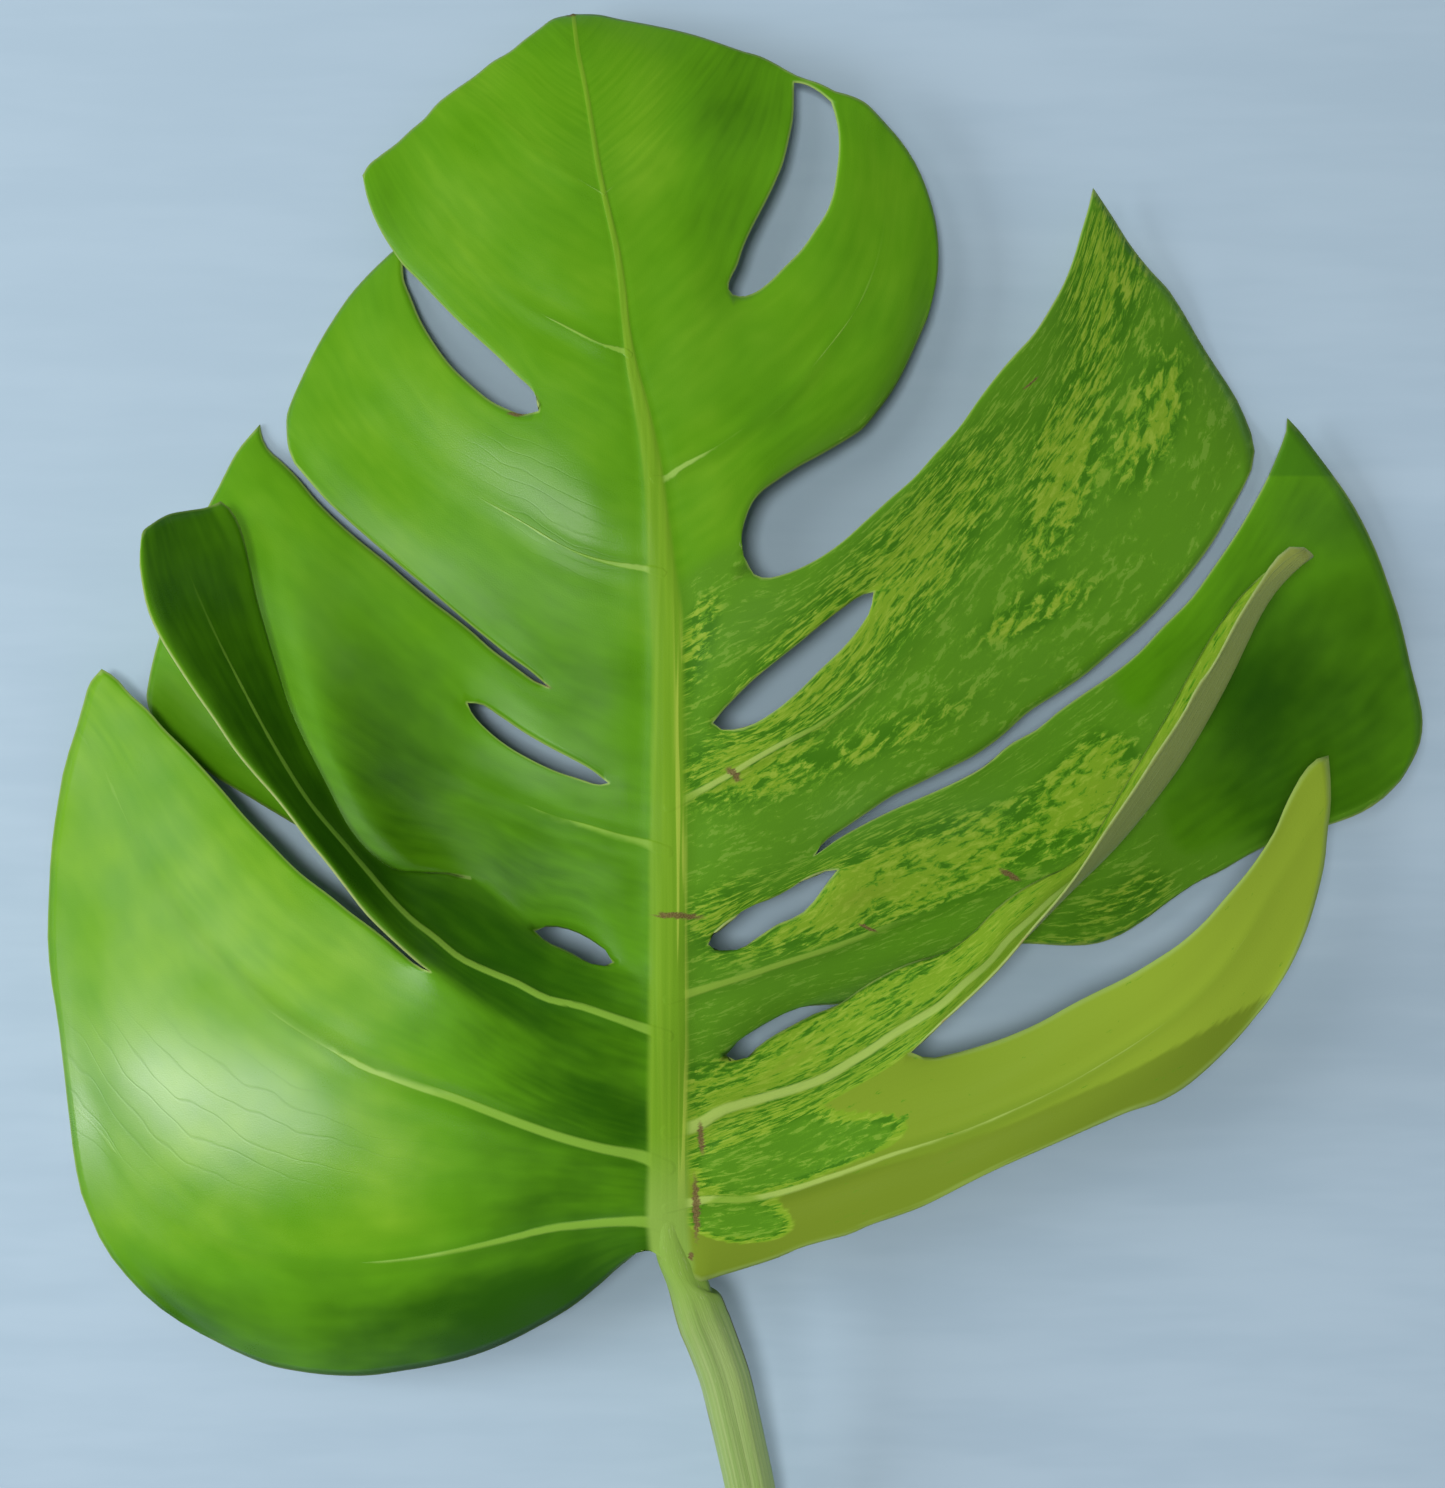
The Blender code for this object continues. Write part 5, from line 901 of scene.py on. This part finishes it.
def make_stalk():
    lead = [(668.3, 1110, 29.1), (668.7, 1150, 30.6), (669.5, 1190, 31.25), (670.5, 1215, 31.45), (672.5, 1243, 31.45)]
    line = Line(lead + STALK)
    first = Line(lead + STALK[:1]).length
    stations, sides = 240, 64
    fr = np.linspace(0, 1, stations)
    centre = line.at(fr)
    tangent = np.gradient(centre[:, :2], axis=0)
    tangent /= np.linalg.norm(tangent, axis=1, keepdims=True)
    run = fr * line.length
    verts, flow, faces, slots = [], [], [], []
    rng = np.random.default_rng(5)
    ph = rng.uniform(0, 6.28, 8)
    for i in range(stations):
        t = tangent[i]
        across = np.array([t[1], -t[0]])
        r0 = run[i] - first
        w = np.clip(1 - max(r0, 0) / 62.0, 0, 1) ** 1.2 * float(smooth(r0, -50, 0))
        across = across * (1 - w) + np.array([0.841, 0.541]) * 1.12 * w
        slim = 0.56 + 0.10 * float(smooth(r0, -160, -80))
        narrow_left = slim + (1 - slim) * float(smooth(r0, -42, 10))
        narrow_right = slim + (1 + 0.30 * math.exp(-((r0 + 4) / 38.0) ** 2) - slim) * float(smooth(r0, -50, -5))
        deep = 0.25 + 0.75 * float(smooth(r0, -130, 10))
        raised = 0.9 * (1 - float(smooth(r0, 4, 110)))
        square = 1 - 0.45 * (1 - float(smooth(r0, 0, 80))) - 0.28 * (1 - float(smooth(r0, -30, 30)))
        c = world(centre[i])
        unit = np.linalg.norm(world(centre[i] + np.array([10, 0, 0])) - c)
        out = (world(centre[i] + np.array([across[0], across[1], 0]) * 10) - c) / unit
        swell = 1 + 0.05 * math.exp(-((r0 - 35) / 40.0) ** 2) + 0.006 * math.sin(run[i] / 31 + ph[0])
        for k in range(sides):
            th = 2 * math.pi * k / sides - math.pi / 2
            a, b = math.cos(th), math.sin(th)
            channel = 0.55 * math.exp(-(math.atan2(a, max(b, 1e-3)) / 0.36) ** 2) if b > 0 else 0.0
            channel *= float(smooth(r0, 0, 60))
            ribs = 0.07 * math.sin(9 * th + ph[1] + 0.4 * math.sin(run[i] / 60)) + 0.04 * math.sin(17 * th + ph[2])
            r = 1 + ribs / 4.5 * float(smooth(r0, -20, 60))
            p = c + out * (a * STALK_A_MM * swell * r * (narrow_right if a > 0 else narrow_left) * 0.001)
            crest = raised * math.exp(-((a + 0.15) / 0.75) ** 4) if b > 0 else 0.0
            high = b ** square if b > 0 else b * deep
            p[2] += (high * STALK_B_MM * swell * r - channel + crest * high - LIFT_MM) * 0.001
            p[2] = max(p[2], 0.0)
            verts.append(p)
            flow.append((r0 / 100, k / sides, 0.0))
    for i in range(stations - 1):
        for k in range(sides):
            m = (k + 1) % sides
            faces.append((i * sides + k, (i + 1) * sides + k, (i + 1) * sides + m, i * sides + m))
            slots.append(0)
    # the cut end: a rounded lip, then a slightly hollow face
    last = (stations - 1) * sides
    ring0 = np.array(verts[last:last + sides])
    mid = ring0.mean(0)
    away = world(centre[-1]) - world(centre[-3])
    away /= np.linalg.norm(away)
    prev = last
    for scale, push in ((0.93, 0.00035), (0.80, 0.0004), (0.62, 0.0002), (0.42, 0.00005), (0.22, -0.00005)):
        here = len(verts)
        for k in range(sides):
            p = mid + (ring0[k] - mid) * scale + away * push
            p[2] = max(p[2], 0.0)
            verts.append(p)
            flow.append((scale, k / sides, 1.0))
        for k in range(sides):
            m = (k + 1) % sides
            faces.append((prev + k, here + k, here + m, prev + m))
            slots.append(1)
        prev = here
    verts.append(mid - away * 0.0001)
    flow.append((0, 0, 1))
    for k in range(sides):
        faces.append((prev + k, len(verts) - 1, prev + (k + 1) % sides))
        slots.append(1)
    # the hidden end inside the blade's base
    verts.append(np.array(verts[:sides]).mean(0))
    flow.append((0, 0, 0))
    for k in range(sides):
        faces.append(((k + 1) % sides, len(verts) - 1, k))
        slots.append(0)
    mesh = bpy.data.meshes.new("stalk")
    mesh.from_pydata([tuple(p) for p in verts], [], faces)
    mesh.polygons.foreach_set("material_index", np.array(slots, np.int32))
    # around is kept as a circle, so that nothing shows where it closes
    fl = np.array(flow)
    ring = np.column_stack([fl[:, 0], np.cos(fl[:, 1] * 2 * math.pi), np.sin(fl[:, 1] * 2 * math.pi)])
    mesh.attributes.new("flow", "FLOAT_VECTOR", "POINT").data.foreach_set("vector", ring.astype(np.float32).ravel())
    mesh.shade_smooth()
    mesh.set_sharp_from_angle(angle=math.radians(60))
    ob = bpy.data.objects.new("stalk", mesh)
    bpy.context.scene.collection.objects.link(ob)
    return ob


# ---- materials ------------------------------------------------------------------
class Nodes:
    """A short way to write a node tree."""

    def __init__(self, name):
        self.mat = bpy.data.materials.new(name)
        self.mat.use_nodes = True
        self.tree = self.mat.node_tree
        self.shader = self.tree.nodes["Principled BSDF"]

    def put(self, socket, value):
        if isinstance(value, bpy.types.NodeSocket):
            self.tree.links.new(value, socket)
        elif isinstance(value, (tuple, list)) and len(value) == 3 and socket.type == "RGBA":
            socket.default_value = (*value, 1)
        else:
            socket.default_value = value

    def attr(self, name, out="Fac"):
        n = self.tree.nodes.new("ShaderNodeAttribute")
        n.attribute_name = name
        return n.outputs[out]

    def math(self, op, a, b=0.0, c=None, clamp=False):
        n = self.tree.nodes.new("ShaderNodeMath")
        n.operation, n.use_clamp = op, clamp
        self.put(n.inputs[0], a)
        self.put(n.inputs[1], b)
        if c is not None:
            self.put(n.inputs[2], c)
        return n.outputs[0]

    def step(self, x, lo, hi, a=0.0, b=1.0):
        n = self.tree.nodes.new("ShaderNodeMapRange")
        n.interpolation_type = "SMOOTHSTEP"
        for k, val in enumerate((x, lo, hi, a, b)):
            self.put(n.inputs[k], val)
        return n.outputs[0]

    def stretch(self, vec, scale, move=(0.0, 0.0, 0.0)):
        n = self.tree.nodes.new("ShaderNodeMapping")
        self.put(n.inputs["Vector"], vec)
        n.inputs["Scale"].default_value = scale
        n.inputs["Location"].default_value = move
        return n.outputs[0]

    def noise(self, vec, scale=1.0, detail=2.0, rough=0.5, distort=0.0, flat=True):
        n = self.tree.nodes.new("ShaderNodeTexNoise")
        n.noise_dimensions = "2D" if flat else "3D"
        self.put(n.inputs["Vector"], vec)
        n.inputs["Scale"].default_value = scale
        n.inputs["Detail"].default_value = detail
        n.inputs["Roughness"].default_value = rough
        n.inputs["Distortion"].default_value = distort
        return n.outputs["Fac"]

    def mix(self, fac, a, b):
        n = self.tree.nodes.new("ShaderNodeMix")
        n.data_type = "RGBA"
        self.put(n.inputs[0], fac)
        self.put(n.inputs[6], a)
        self.put(n.inputs[7], b)
        return n.outputs[2]

    def blend(self, fac, a, b):
        n = self.tree.nodes.new("ShaderNodeMix")
        n.data_type = "FLOAT"
        self.put(n.inputs[0], fac)
        self.put(n.inputs[2], a)
        self.put(n.inputs[3], b)
        return n.outputs[0]

    def bump(self, height, distance, strength=1.0, normal=None):
        n = self.tree.nodes.new("ShaderNodeBump")
        self.put(n.inputs["Height"], height)
        n.inputs["Distance"].default_value = distance
        n.inputs["Strength"].default_value = strength
        if normal is not None:
            self.put(n.inputs["Normal"], normal)
        return n.outputs["Normal"]

    def xyz(self, vec):
        n = self.tree.nodes.new("ShaderNodeSeparateXYZ")
        self.put(n.inputs[0], vec)
        return n.outputs

    def join(self, x, y, z=0.0):
        n = self.tree.nodes.new("ShaderNodeCombineXYZ")
        for k, val in enumerate((x, y, z)):
            self.put(n.inputs[k], val)
        return n.outputs[0]

    def dash(self, plan, cu, cv, length, width, turn, wobble):
        """A short mark on the leaf: 1 on it, 0 off it. Plan units."""
        s = math.radians(turn)
        x, y = plan[0], plan[1]
        dx, dy = self.math("SUBTRACT", x, cu / 100), self.math("SUBTRACT", y, cv / 100)
        lx = self.math("ADD", self.math("MULTIPLY", dx, math.cos(s) * 200 / length),
                       self.math("MULTIPLY", dy, math.sin(s) * 200 / length))
        ly = self.math("ADD", self.math("MULTIPLY", dx, -math.sin(s) * 200 / width),
                       self.math("MULTIPLY", dy, math.cos(s) * 200 / width))
        ly = self.math("ADD", ly, self.math("MULTIPLY", self.math("SUBTRACT", wobble, 0.5), 2.6))
        r = self.math("SQRT", self.math("ADD", self.math("POWER", self.math("ABSOLUTE", lx), 2.0),
                                        self.math("POWER", self.math("ABSOLUTE", ly), 2.0)))
        return self.step(r, 1.15, 0.55)


def blade_top():
    s = Nodes("blade_top")
    flow, plan = s.attr("flow", "Vector"), s.attr("plan", "Vector")
    pxy = s.xyz(plan)
    fxyz = s.xyz(flow)
    green, tone_and_painted_shade = s.attr("green"), s.attr("tone_and_painted_shade")
    mid, half, vein, power, rim = (s.attr(a) for a in ("mid", "half", "vein", "power", "rim"))
    amid = s.math("ABSOLUTE", mid)
    # flecks of the variegation, drawn out along the veins
    broad = s.noise(s.stretch(flow, (1.1, 2.6, 1)), 1.7, 1.0, 0.5)
    small = s.noise(s.stretch(flow, (5.4, 13.5, 1)), 1.0, 4.0, 0.66, 0.30)
    amount = s.math("MULTIPLY_ADD", s.math("SUBTRACT", broad, 0.5), 1.7, green)
    amount = s.math("MULTIPLY_ADD", s.math("SUBTRACT", small, 0.5), 3.9, amount)
    amount = s.math("ADD", amount, s.step(green, 0.80, 1.0, 0.0, 3.0))
    is_green = s.step(amount, -0.06, 0.05)
    mottled = s.step(green, 0.50, 0.16)
    deep = s.math("MULTIPLY", s.step(amount, 0.22, 0.46), s.math("MULTIPLY_ADD", mottled, 0.8, 0.2))
    # greens, lighter and darker by tone, which also holds painted shade
    drift = s.noise(plan, 1.1, 3.0, 0.55)
    t2 = s.math("MULTIPLY_ADD", s.math("SUBTRACT", drift, 0.5), 0.22, tone_and_painted_shade)
    t2 = s.math("MULTIPLY_ADD", s.math("SUBTRACT", broad, 0.5), 0.16, t2, clamp=True)
    leaf = s.mix(s.step(t2, 0.0, 0.55), (0.020, 0.092, 0.002), (0.098, 0.292, 0.006))
    leaf = s.mix(s.step(t2, 0.45, 1.0), leaf, (0.228, 0.445, 0.022))
    fleck_green = s.mix(deep, (0.108, 0.280, 0.014), (0.052, 0.180, 0.007))
    plain = s.step(green, 0.75, 1.0)
    body = s.mix(plain, fleck_green, leaf)
    yellow = s.mix(s.step(small, 0.50, 0.32), (0.200, 0.355, 0.020), (0.285, 0.430, 0.040))
    yellow = s.mix(mottled, (0.158, 0.330, 0.030), yellow)
    lobe = s.mix(s.step(pxy[0], 9.5, 12.5), (0.205, 0.310, 0.024), (0.275, 0.395, 0.032))
    # darker yellow where tone is low; this draws the painted shade below the base lobe's crease
    lobe = s.mix(s.step(tone_and_painted_shade, 0.50, 0.05), lobe, (0.170, 0.252, 0.020))
    yellow = s.mix(s.step(green, -0.45, -0.80), yellow, lobe)
    col = s.mix(is_green, yellow, body)
    # fine veins between the main ones
    ph = s.math("MULTIPLY_ADD", broad, 0.8, s.math("MULTIPLY", fxyz[1], 5.4))
    fine = s.step(s.math("PINGPONG", ph, 0.5), 0.085, 0.0)
    sheen = s.attr("sheen")
    fine = s.math("MULTIPLY", fine, s.math("MULTIPLY", s.step(sheen, 0.25, 0.80, 0.12, 0.8), s.step(amid, 20.0, 60.0)))
    col = s.mix(s.math("MULTIPLY", fine, 0.16), col, (0.03, 0.12, 0.004))
    # main veins
    on_vein = s.math("MULTIPLY", s.step(vein, 1.25, 0.70), s.step(power, 0.02, 0.45))
    shade = s.math("MULTIPLY", s.step(vein, 4.5, 1.2), s.math("MULTIPLY", power, 0.16))
    col = s.mix(shade, col, (0.025, 0.11, 0.003))
    vein_col = s.mix(s.step(green, 0.6, 0.9), (0.370, 0.510, 0.110), (0.225, 0.420, 0.045))
    on_green = s.mix(s.step(t2, 0.40, 0.72), (0.225, 0.420, 0.045), (0.365, 0.560, 0.130))
    vein_col = s.mix(s.step(green, 0.0, 0.3), vein_col, s.mix(s.step(green, 0.6, 0.9), (0.240, 0.400, 0.045), on_green))
    col = s.mix(s.math("MULTIPLY", on_vein, 0.85), col, vein_col)
    # the midrib's band
    streak = s.noise(s.stretch(plan, (17.0, 0.45, 1)), 1.0, 1.0, 0.5)
    rel = s.math("DIVIDE", amid, s.math("MULTIPLY", half, s.math("MULTIPLY_ADD", drift, 0.20, 0.90)))
    on_mid = s.step(rel, 1.30, 0.80)
    rib_green = s.mix(s.step(streak, 0.30, 0.70), (0.152, 0.318, 0.016), (0.178, 0.350, 0.020))
    right = s.step(s.math("DIVIDE", mid, half), 0.30, 0.60)
    low = s.step(pxy[1], 5.8, 7.0)
    pale = s.math("MULTIPLY", s.math("MULTIPLY", right, low), s.step(streak, 0.50, 0.62))
    rib_green = s.mix(pale, rib_green, (0.340, 0.480, 0.055))
    foot = s.step(pxy[1], 11.2, 12.3)
    rib_green = s.mix(foot, rib_green, (0.225, 0.378, 0.060))
    col = s.mix(on_mid, col, rib_green)
    # pale margin
    reach = s.step(green, -0.5, -0.9, 3.0, 7.0)
    margin = s.math("MULTIPLY", s.step(rim, reach, 0.3, 0.0, 0.75), s.step(tone_and_painted_shade, 0.05, 0.45, 0.25, 1.0))
    margin = s.math("MAXIMUM", margin, s.math("MULTIPLY", s.step(rim, reach, 0.3, 0.0, 0.75), s.step(green, 0.9, 0.5)))
    col = s.mix(margin, col, (0.330, 0.470, 0.120))
    # painted shade: the tip that bends back away from the light is darker
    tip = s.math("MULTIPLY", s.step(pxy[1], 4.78, 4.74), s.step(pxy[0], 12.62, 12.68))
    col = s.mix(s.math("MULTIPLY", tip, 0.6), col, (0.045, 0.17, 0.006))
    # old scars
    marks = [(678, 916, 56, 7, 3), (734, 774, 22, 9, 40), (516, 414, 20, 5, 5), (868, 928, 22, 4, 25),
             (1010, 875, 26, 7, 30), (1030, 383, 22, 2.5, -40), (701, 1138, 36, 7, 85), (696, 1208, 72, 8, 88),
             (538, 681, 32, 5, 28), (691, 1257, 10, 6, 80), (571, 14, 12, 6, 0)]
    scar = None
    for m in marks:
        d = s.dash(pxy, *m, small)
        scar = d if scar is None else s.math("MAXIMUM", scar, d)
    grain = s.noise(plan, 70.0, 0.0, 0.5)
    scar_col = s.mix(grain, (0.070, 0.036, 0.012), (0.24, 0.16, 0.07))
    col = s.mix(s.math("MULTIPLY", scar, 0.9), col, scar_col)
    s.put(s.shader.inputs["Base Color"], col)
    rough = s.math("MULTIPLY_ADD", grain, 0.08, s.math("MULTIPLY_ADD", drift, 0.20, 0.19))
    rough = s.math("MULTIPLY_ADD", fine, 0.05, rough)
    rough = s.math("MULTIPLY_ADD", scar, 0.3, rough)
    s.put(s.shader.inputs["Roughness"], rough)
    s.shader.inputs["Specular IOR Level"].default_value = 0.2
    s.put(s.shader.inputs["Specular IOR Level"], sheen)
    # relief: fine veins sunk, the main vein a thin raised line
    h = s.math("MULTIPLY_ADD", fine, -0.16, s.math("MULTIPLY", grain, 0.10))
    h = s.math("MULTIPLY_ADD", on_vein, 0.7, h)
    band = s.step(s.math("DIVIDE", amid, half), 1.1, 0.8)
    h = s.math("MULTIPLY_ADD", s.math("MULTIPLY", band, streak), 0.45, h)
    s.put(s.shader.inputs["Normal"], s.bump(h, 0.00020, 0.6))
    return s.mat


def blade_under():
    s = Nodes("blade_under")
    flow, plan = s.attr("flow", "Vector"), s.attr("plan", "Vector")
    mid, half, vein, power, rim = (s.attr(a) for a in ("mid", "half", "vein", "power", "rim"))
    green = s.attr("green")
    fx = s.xyz(flow)
    n1 = s.noise(s.stretch(flow, (1.4, 5.0, 1)), 1.5, 4.0, 0.6)
    fleck = s.noise(s.stretch(flow, (4.2, 15.0, 1)), 1.0, 5.0, 0.66, 0.6)
    base = s.mix(n1, (0.160, 0.290, 0.060), (0.225, 0.365, 0.095))
    pale = s.mix(fleck, (0.280, 0.345, 0.060), (0.335, 0.395, 0.085))
    col = s.mix(s.step(s.math("MULTIPLY_ADD", s.math("SUBTRACT", fleck, 0.5), 2.0, green), -0.1, 0.5), pale, base)
    wob = s.noise(s.stretch(flow, (1.4, 3.0, 1), (7, 7, 7)), 1.0, 2.0, 0.5)
    ph = s.math("MULTIPLY_ADD", wob, 0.55, s.math("MULTIPLY", fx[1], 5.4))
    fine = s.step(s.math("PINGPONG", ph, 0.5), 0.09, 0.0)
    col = s.mix(s.math("MULTIPLY", fine, 0.35), col, (0.34, 0.45, 0.18))
    on_vein = s.math("MULTIPLY", s.step(vein, 2.2, 1.0), s.step(power, 0.05, 0.5))
    col = s.mix(s.math("MULTIPLY", on_vein, 0.85), col, (0.34, 0.44, 0.14))
    rel = s.math("DIVIDE", s.math("ABSOLUTE", mid), half)
    on_mid = s.step(rel, 1.35, 1.0)
    streak = s.noise(s.stretch(plan, (13.0, 0.55, 1)), 1.0, 3.0, 0.6)
    col = s.mix(on_mid, col, s.mix(streak, (0.26, 0.40, 0.10), (0.40, 0.50, 0.19)))
    col = s.mix(s.step(rim, 3.2, 0.3, 0.0, 0.6), col, (0.36, 0.44, 0.18))
    s.put(s.shader.inputs["Base Color"], col)
    grain = s.noise(plan, 60.0, 3.0, 0.6)
    s.put(s.shader.inputs["Roughness"], s.math("MULTIPLY_ADD", grain, 0.14, 0.46))
    s.shader.inputs["Specular IOR Level"].default_value = 0.4
    h = s.math("MULTIPLY_ADD", fine, 0.5, s.math("MULTIPLY", grain, 0.3))
    h = s.math("MULTIPLY_ADD", s.math("MULTIPLY", on_mid, streak), 0.9, h)
    s.put(s.shader.inputs["Normal"], s.bump(h, 0.0002, 0.7))
    return s.mat


def blade_edge():
    s = Nodes("blade_edge")
    plan = s.attr("plan", "Vector")
    n = s.noise(plan, 9.0, 4.0, 0.6)
    dry = s.step(s.noise(plan, 2.3, 3.0, 0.6), 0.62, 0.72)
    col = s.mix(n, (0.24, 0.36, 0.07), (0.40, 0.47, 0.17))
    col = s.mix(s.math("MULTIPLY", dry, 0.7), col, (0.26, 0.17, 0.06))
    s.put(s.shader.inputs["Base Color"], col)
    s.put(s.shader.inputs["Roughness"], s.math("MULTIPLY_ADD", n, 0.2, 0.42))
    s.put(s.shader.inputs["Normal"], s.bump(n, 0.0001, 0.6))
    return s.mat


def stalk_skin():
    s = Nodes("stalk_skin")
    flow = s.attr("flow", "Vector")
    f = s.xyz(flow)
    lines = s.noise(s.stretch(flow, (0.22, 5.0, 5.0)), 1.3, 2.0, 0.55, 0.1, False)
    broad = s.noise(s.stretch(flow, (0.5, 1.6, 1.6)), 1.2, 2.0, 0.5, 0.0, False)
    col = s.mix(s.step(lines, 0.32, 0.68), (0.255, 0.395, 0.105), (0.355, 0.480, 0.165))
    col = s.mix(s.step(broad, 0.45, 0.70, 0.0, 0.55), col, (0.305, 0.430, 0.120))
    head = s.step(f[0], 1.00, -0.10)
    col = s.mix(head, col, (0.225, 0.378, 0.060))
    fleck = s.noise(s.stretch(flow, (6.0, 9.0, 9.0), (2, 0, 1)), 1.6, 2.0, 0.6, 0.0, False)
    col = s.mix(s.step(fleck, 0.64, 0.70, 0.0, 0.35), col, (0.42, 0.50, 0.24))
    side = s.step(s.math("ABSOLUTE", f[2]), 0.93, 0.99)
    span = s.math("MULTIPLY", s.step(f[0], 0.15, 0.35), s.step(f[0], 1.9, 1.3))
    brown = s.math("MULTIPLY", s.math("MULTIPLY", side, span), s.step(broad, 0.40, 0.50))
    col = s.mix(s.math("MULTIPLY", brown, 0.75), col, (0.13, 0.085, 0.035))
    s.put(s.shader.inputs["Base Color"], col)
    s.put(s.shader.inputs["Roughness"], s.math("MULTIPLY_ADD", broad, 0.15, s.math("MULTIPLY_ADD", brown, 0.25, 0.36)))
    s.put(s.shader.inputs["Specular IOR Level"], s.step(f[0], -0.1, 1.1, 0.07, 0.42))
    h = s.math("MULTIPLY_ADD", lines, s.step(f[0], -0.3, 0.8, 0.15, 1.0), s.math("MULTIPLY", fleck, 0.25))
    h = s.math("MULTIPLY_ADD", brown, -0.4, h)
    s.put(s.shader.inputs["Normal"], s.bump(h, 0.0004, 0.7))
    return s.mat


def stalk_cut():
    s = Nodes("stalk_cut")
    flow = s.attr("flow", "Vector")
    f = s.xyz(flow)
    at = s.join(s.math("MULTIPLY", f[0], f[1]), s.math("MULTIPLY", f[0], f[2]))
    cells = s.tree.nodes.new("ShaderNodeTexVoronoi")
    s.put(cells.inputs["Vector"], at)
    cells.inputs["Scale"].default_value = 9.0
    n = s.noise(at, 6.0, 3.0, 0.6)
    dots = s.step(cells.outputs["Distance"], 0.30, 0.16)
    col = s.mix(n, (0.36, 0.44, 0.20), (0.52, 0.56, 0.33))
    col = s.mix(s.math("MULTIPLY", dots, 0.7), col, (0.22, 0.24, 0.09))
    col = s.mix(s.step(f[0], 0.80, 0.93, 0.0, 0.7), col, (0.20, 0.30, 0.08))
    col = s.mix(s.step(n, 0.58, 0.72, 0.0, 0.6), col, (0.25, 0.17, 0.07))
    s.put(s.shader.inputs["Base Color"], col)
    s.put(s.shader.inputs["Roughness"], s.math("MULTIPLY_ADD", n, 0.2, 0.5))
    s.put(s.shader.inputs["Normal"], s.bump(s.math("MULTIPLY_ADD", dots, -0.6, n), 0.0003, 0.8))
    return s.mat


# ---- the leaf --------------------------------------------------------------------
blade = make_blade()
for m in (blade_top(), blade_under(), blade_edge()):
    blade.data.materials.append(m)
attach(blade, "root")
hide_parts("leaf_blade")

stalk = make_stalk()
for m in (stalk_skin(), stalk_cut()):
    stalk.data.materials.append(m)
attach(stalk, "root")
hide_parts("petiole")

# ---- surface, light and camera ------------------------------------------------------
floor_mesh = bpy.data.meshes.new("surface")
R = 6.0
floor_mesh.from_pydata([(-R, -R, 0), (R, -R, 0), (R, R, 0), (-R, R, 0)], [], [(0, 1, 2, 3)])
floor = bpy.data.objects.new("surface", floor_mesh)
bpy.context.scene.collection.objects.link(floor)
floor.location.z = -0.0002
fm = Nodes("surface")
at = fm.tree.nodes.new("ShaderNodeTexCoord").outputs["Object"]
brushed = fm.noise(fm.stretch(at, (14.0, 90.0, 1)), 1.0, 3.0, 0.6)
cloud = fm.noise(at, 3.0, 2.0, 0.5)
wash = fm.mix(fm.step(brushed, 0.30, 0.70), (0.412, 0.540, 0.662), (0.448, 0.578, 0.700))
fm.put(fm.shader.inputs["Base Color"], fm.mix(fm.step(cloud, 0.35, 0.65, 0.0, 0.5), wash, (0.405, 0.532, 0.640)))
fm.put(fm.shader.inputs["Roughness"], fm.math("MULTIPLY_ADD", cloud, 0.15, 0.50))
fm.shader.inputs["Specular IOR Level"].default_value = 0.2
fm.put(fm.shader.inputs["Normal"], fm.bump(brushed, 0.0003, 0.35))
floor_mesh.materials.append(fm.mat)


def lamp(name, place, aim, size, power, colour):
    data = bpy.data.lights.new(name, "AREA")
    data.shape = "RECTANGLE"
    data.size, data.size_y = size
    data.energy = power
    data.color = colour
    ob = bpy.data.objects.new(name, data)
    bpy.context.scene.collection.objects.link(ob)
    ob.location = place
    from mathutils import Vector
    ob.rotation_euler = (Vector(aim) - Vector(place)).to_track_quat("-Z", "Y").to_euler()
    return ob


def place(azimuth, elevation, far):
    a, e = math.radians(azimuth), math.radians(elevation)
    return (far * math.cos(e) * math.cos(a), far * math.cos(e) * math.sin(a), far * math.sin(e))


lamp("key", place(160, 62, 1.25), (0.0, 0.0, 0.0), (0.34, 0.34), 1.6, (1.0, 0.99, 0.95))
high_lamp = lamp("high", place(165, 85, 1.25), (0.0, 0.0, 0.0), (0.16, 0.16), 7.2, (1.0, 0.99, 0.96))
high_lamp.visible_glossy = False
lamp("window", place(182, 30, 1.35), (0.0, 0.0, 0.0), (0.80, 0.75), 10.4, (0.97, 0.985, 1.0))

world_data = bpy.data.worlds.new("soft")
world_data.use_nodes = True
wt = world_data.node_tree
bg = wt.nodes["Background"]
bg.inputs["Color"].default_value = (0.90, 0.95, 1.0, 1)
sky = wt.nodes.new("ShaderNodeTexCoord")
up = wt.nodes.new("ShaderNodeSeparateXYZ")
fade = wt.nodes.new("ShaderNodeMapRange")
fade.interpolation_type = "SMOOTHSTEP"
wt.links.new(sky.outputs["Generated"], up.inputs[0])
wt.links.new(up.outputs[2], fade.inputs[0])
for k, val in ((1, 0.0), (2, 0.42), (3, 0.52), (4, 0.18)):
    fade.inputs[k].default_value = val
wt.links.new(fade.outputs[0], bg.inputs["Strength"])
bpy.context.scene.world = world_data

cam = bpy.data.cameras.new("camera")
cam.sensor_fit = "AUTO"
cam.sensor_width = 36.0
cam.lens = 36.0 * (EYE_Z - REF_Z) * 0.001 / (1488 * UNIT)
cam.clip_start, cam.clip_end = 0.01, 20
cam_ob = bpy.data.objects.new("camera", cam)
bpy.context.scene.collection.objects.link(cam_ob)
cam_ob.location = (CENTRE[0], CENTRE[1], EYE_Z * 0.001)
bpy.context.scene.camera = cam_ob
bpy.context.scene.view_settings.view_transform = "Standard"

def plain(b):
    return [[float(c) for c in corner] for corner in b]
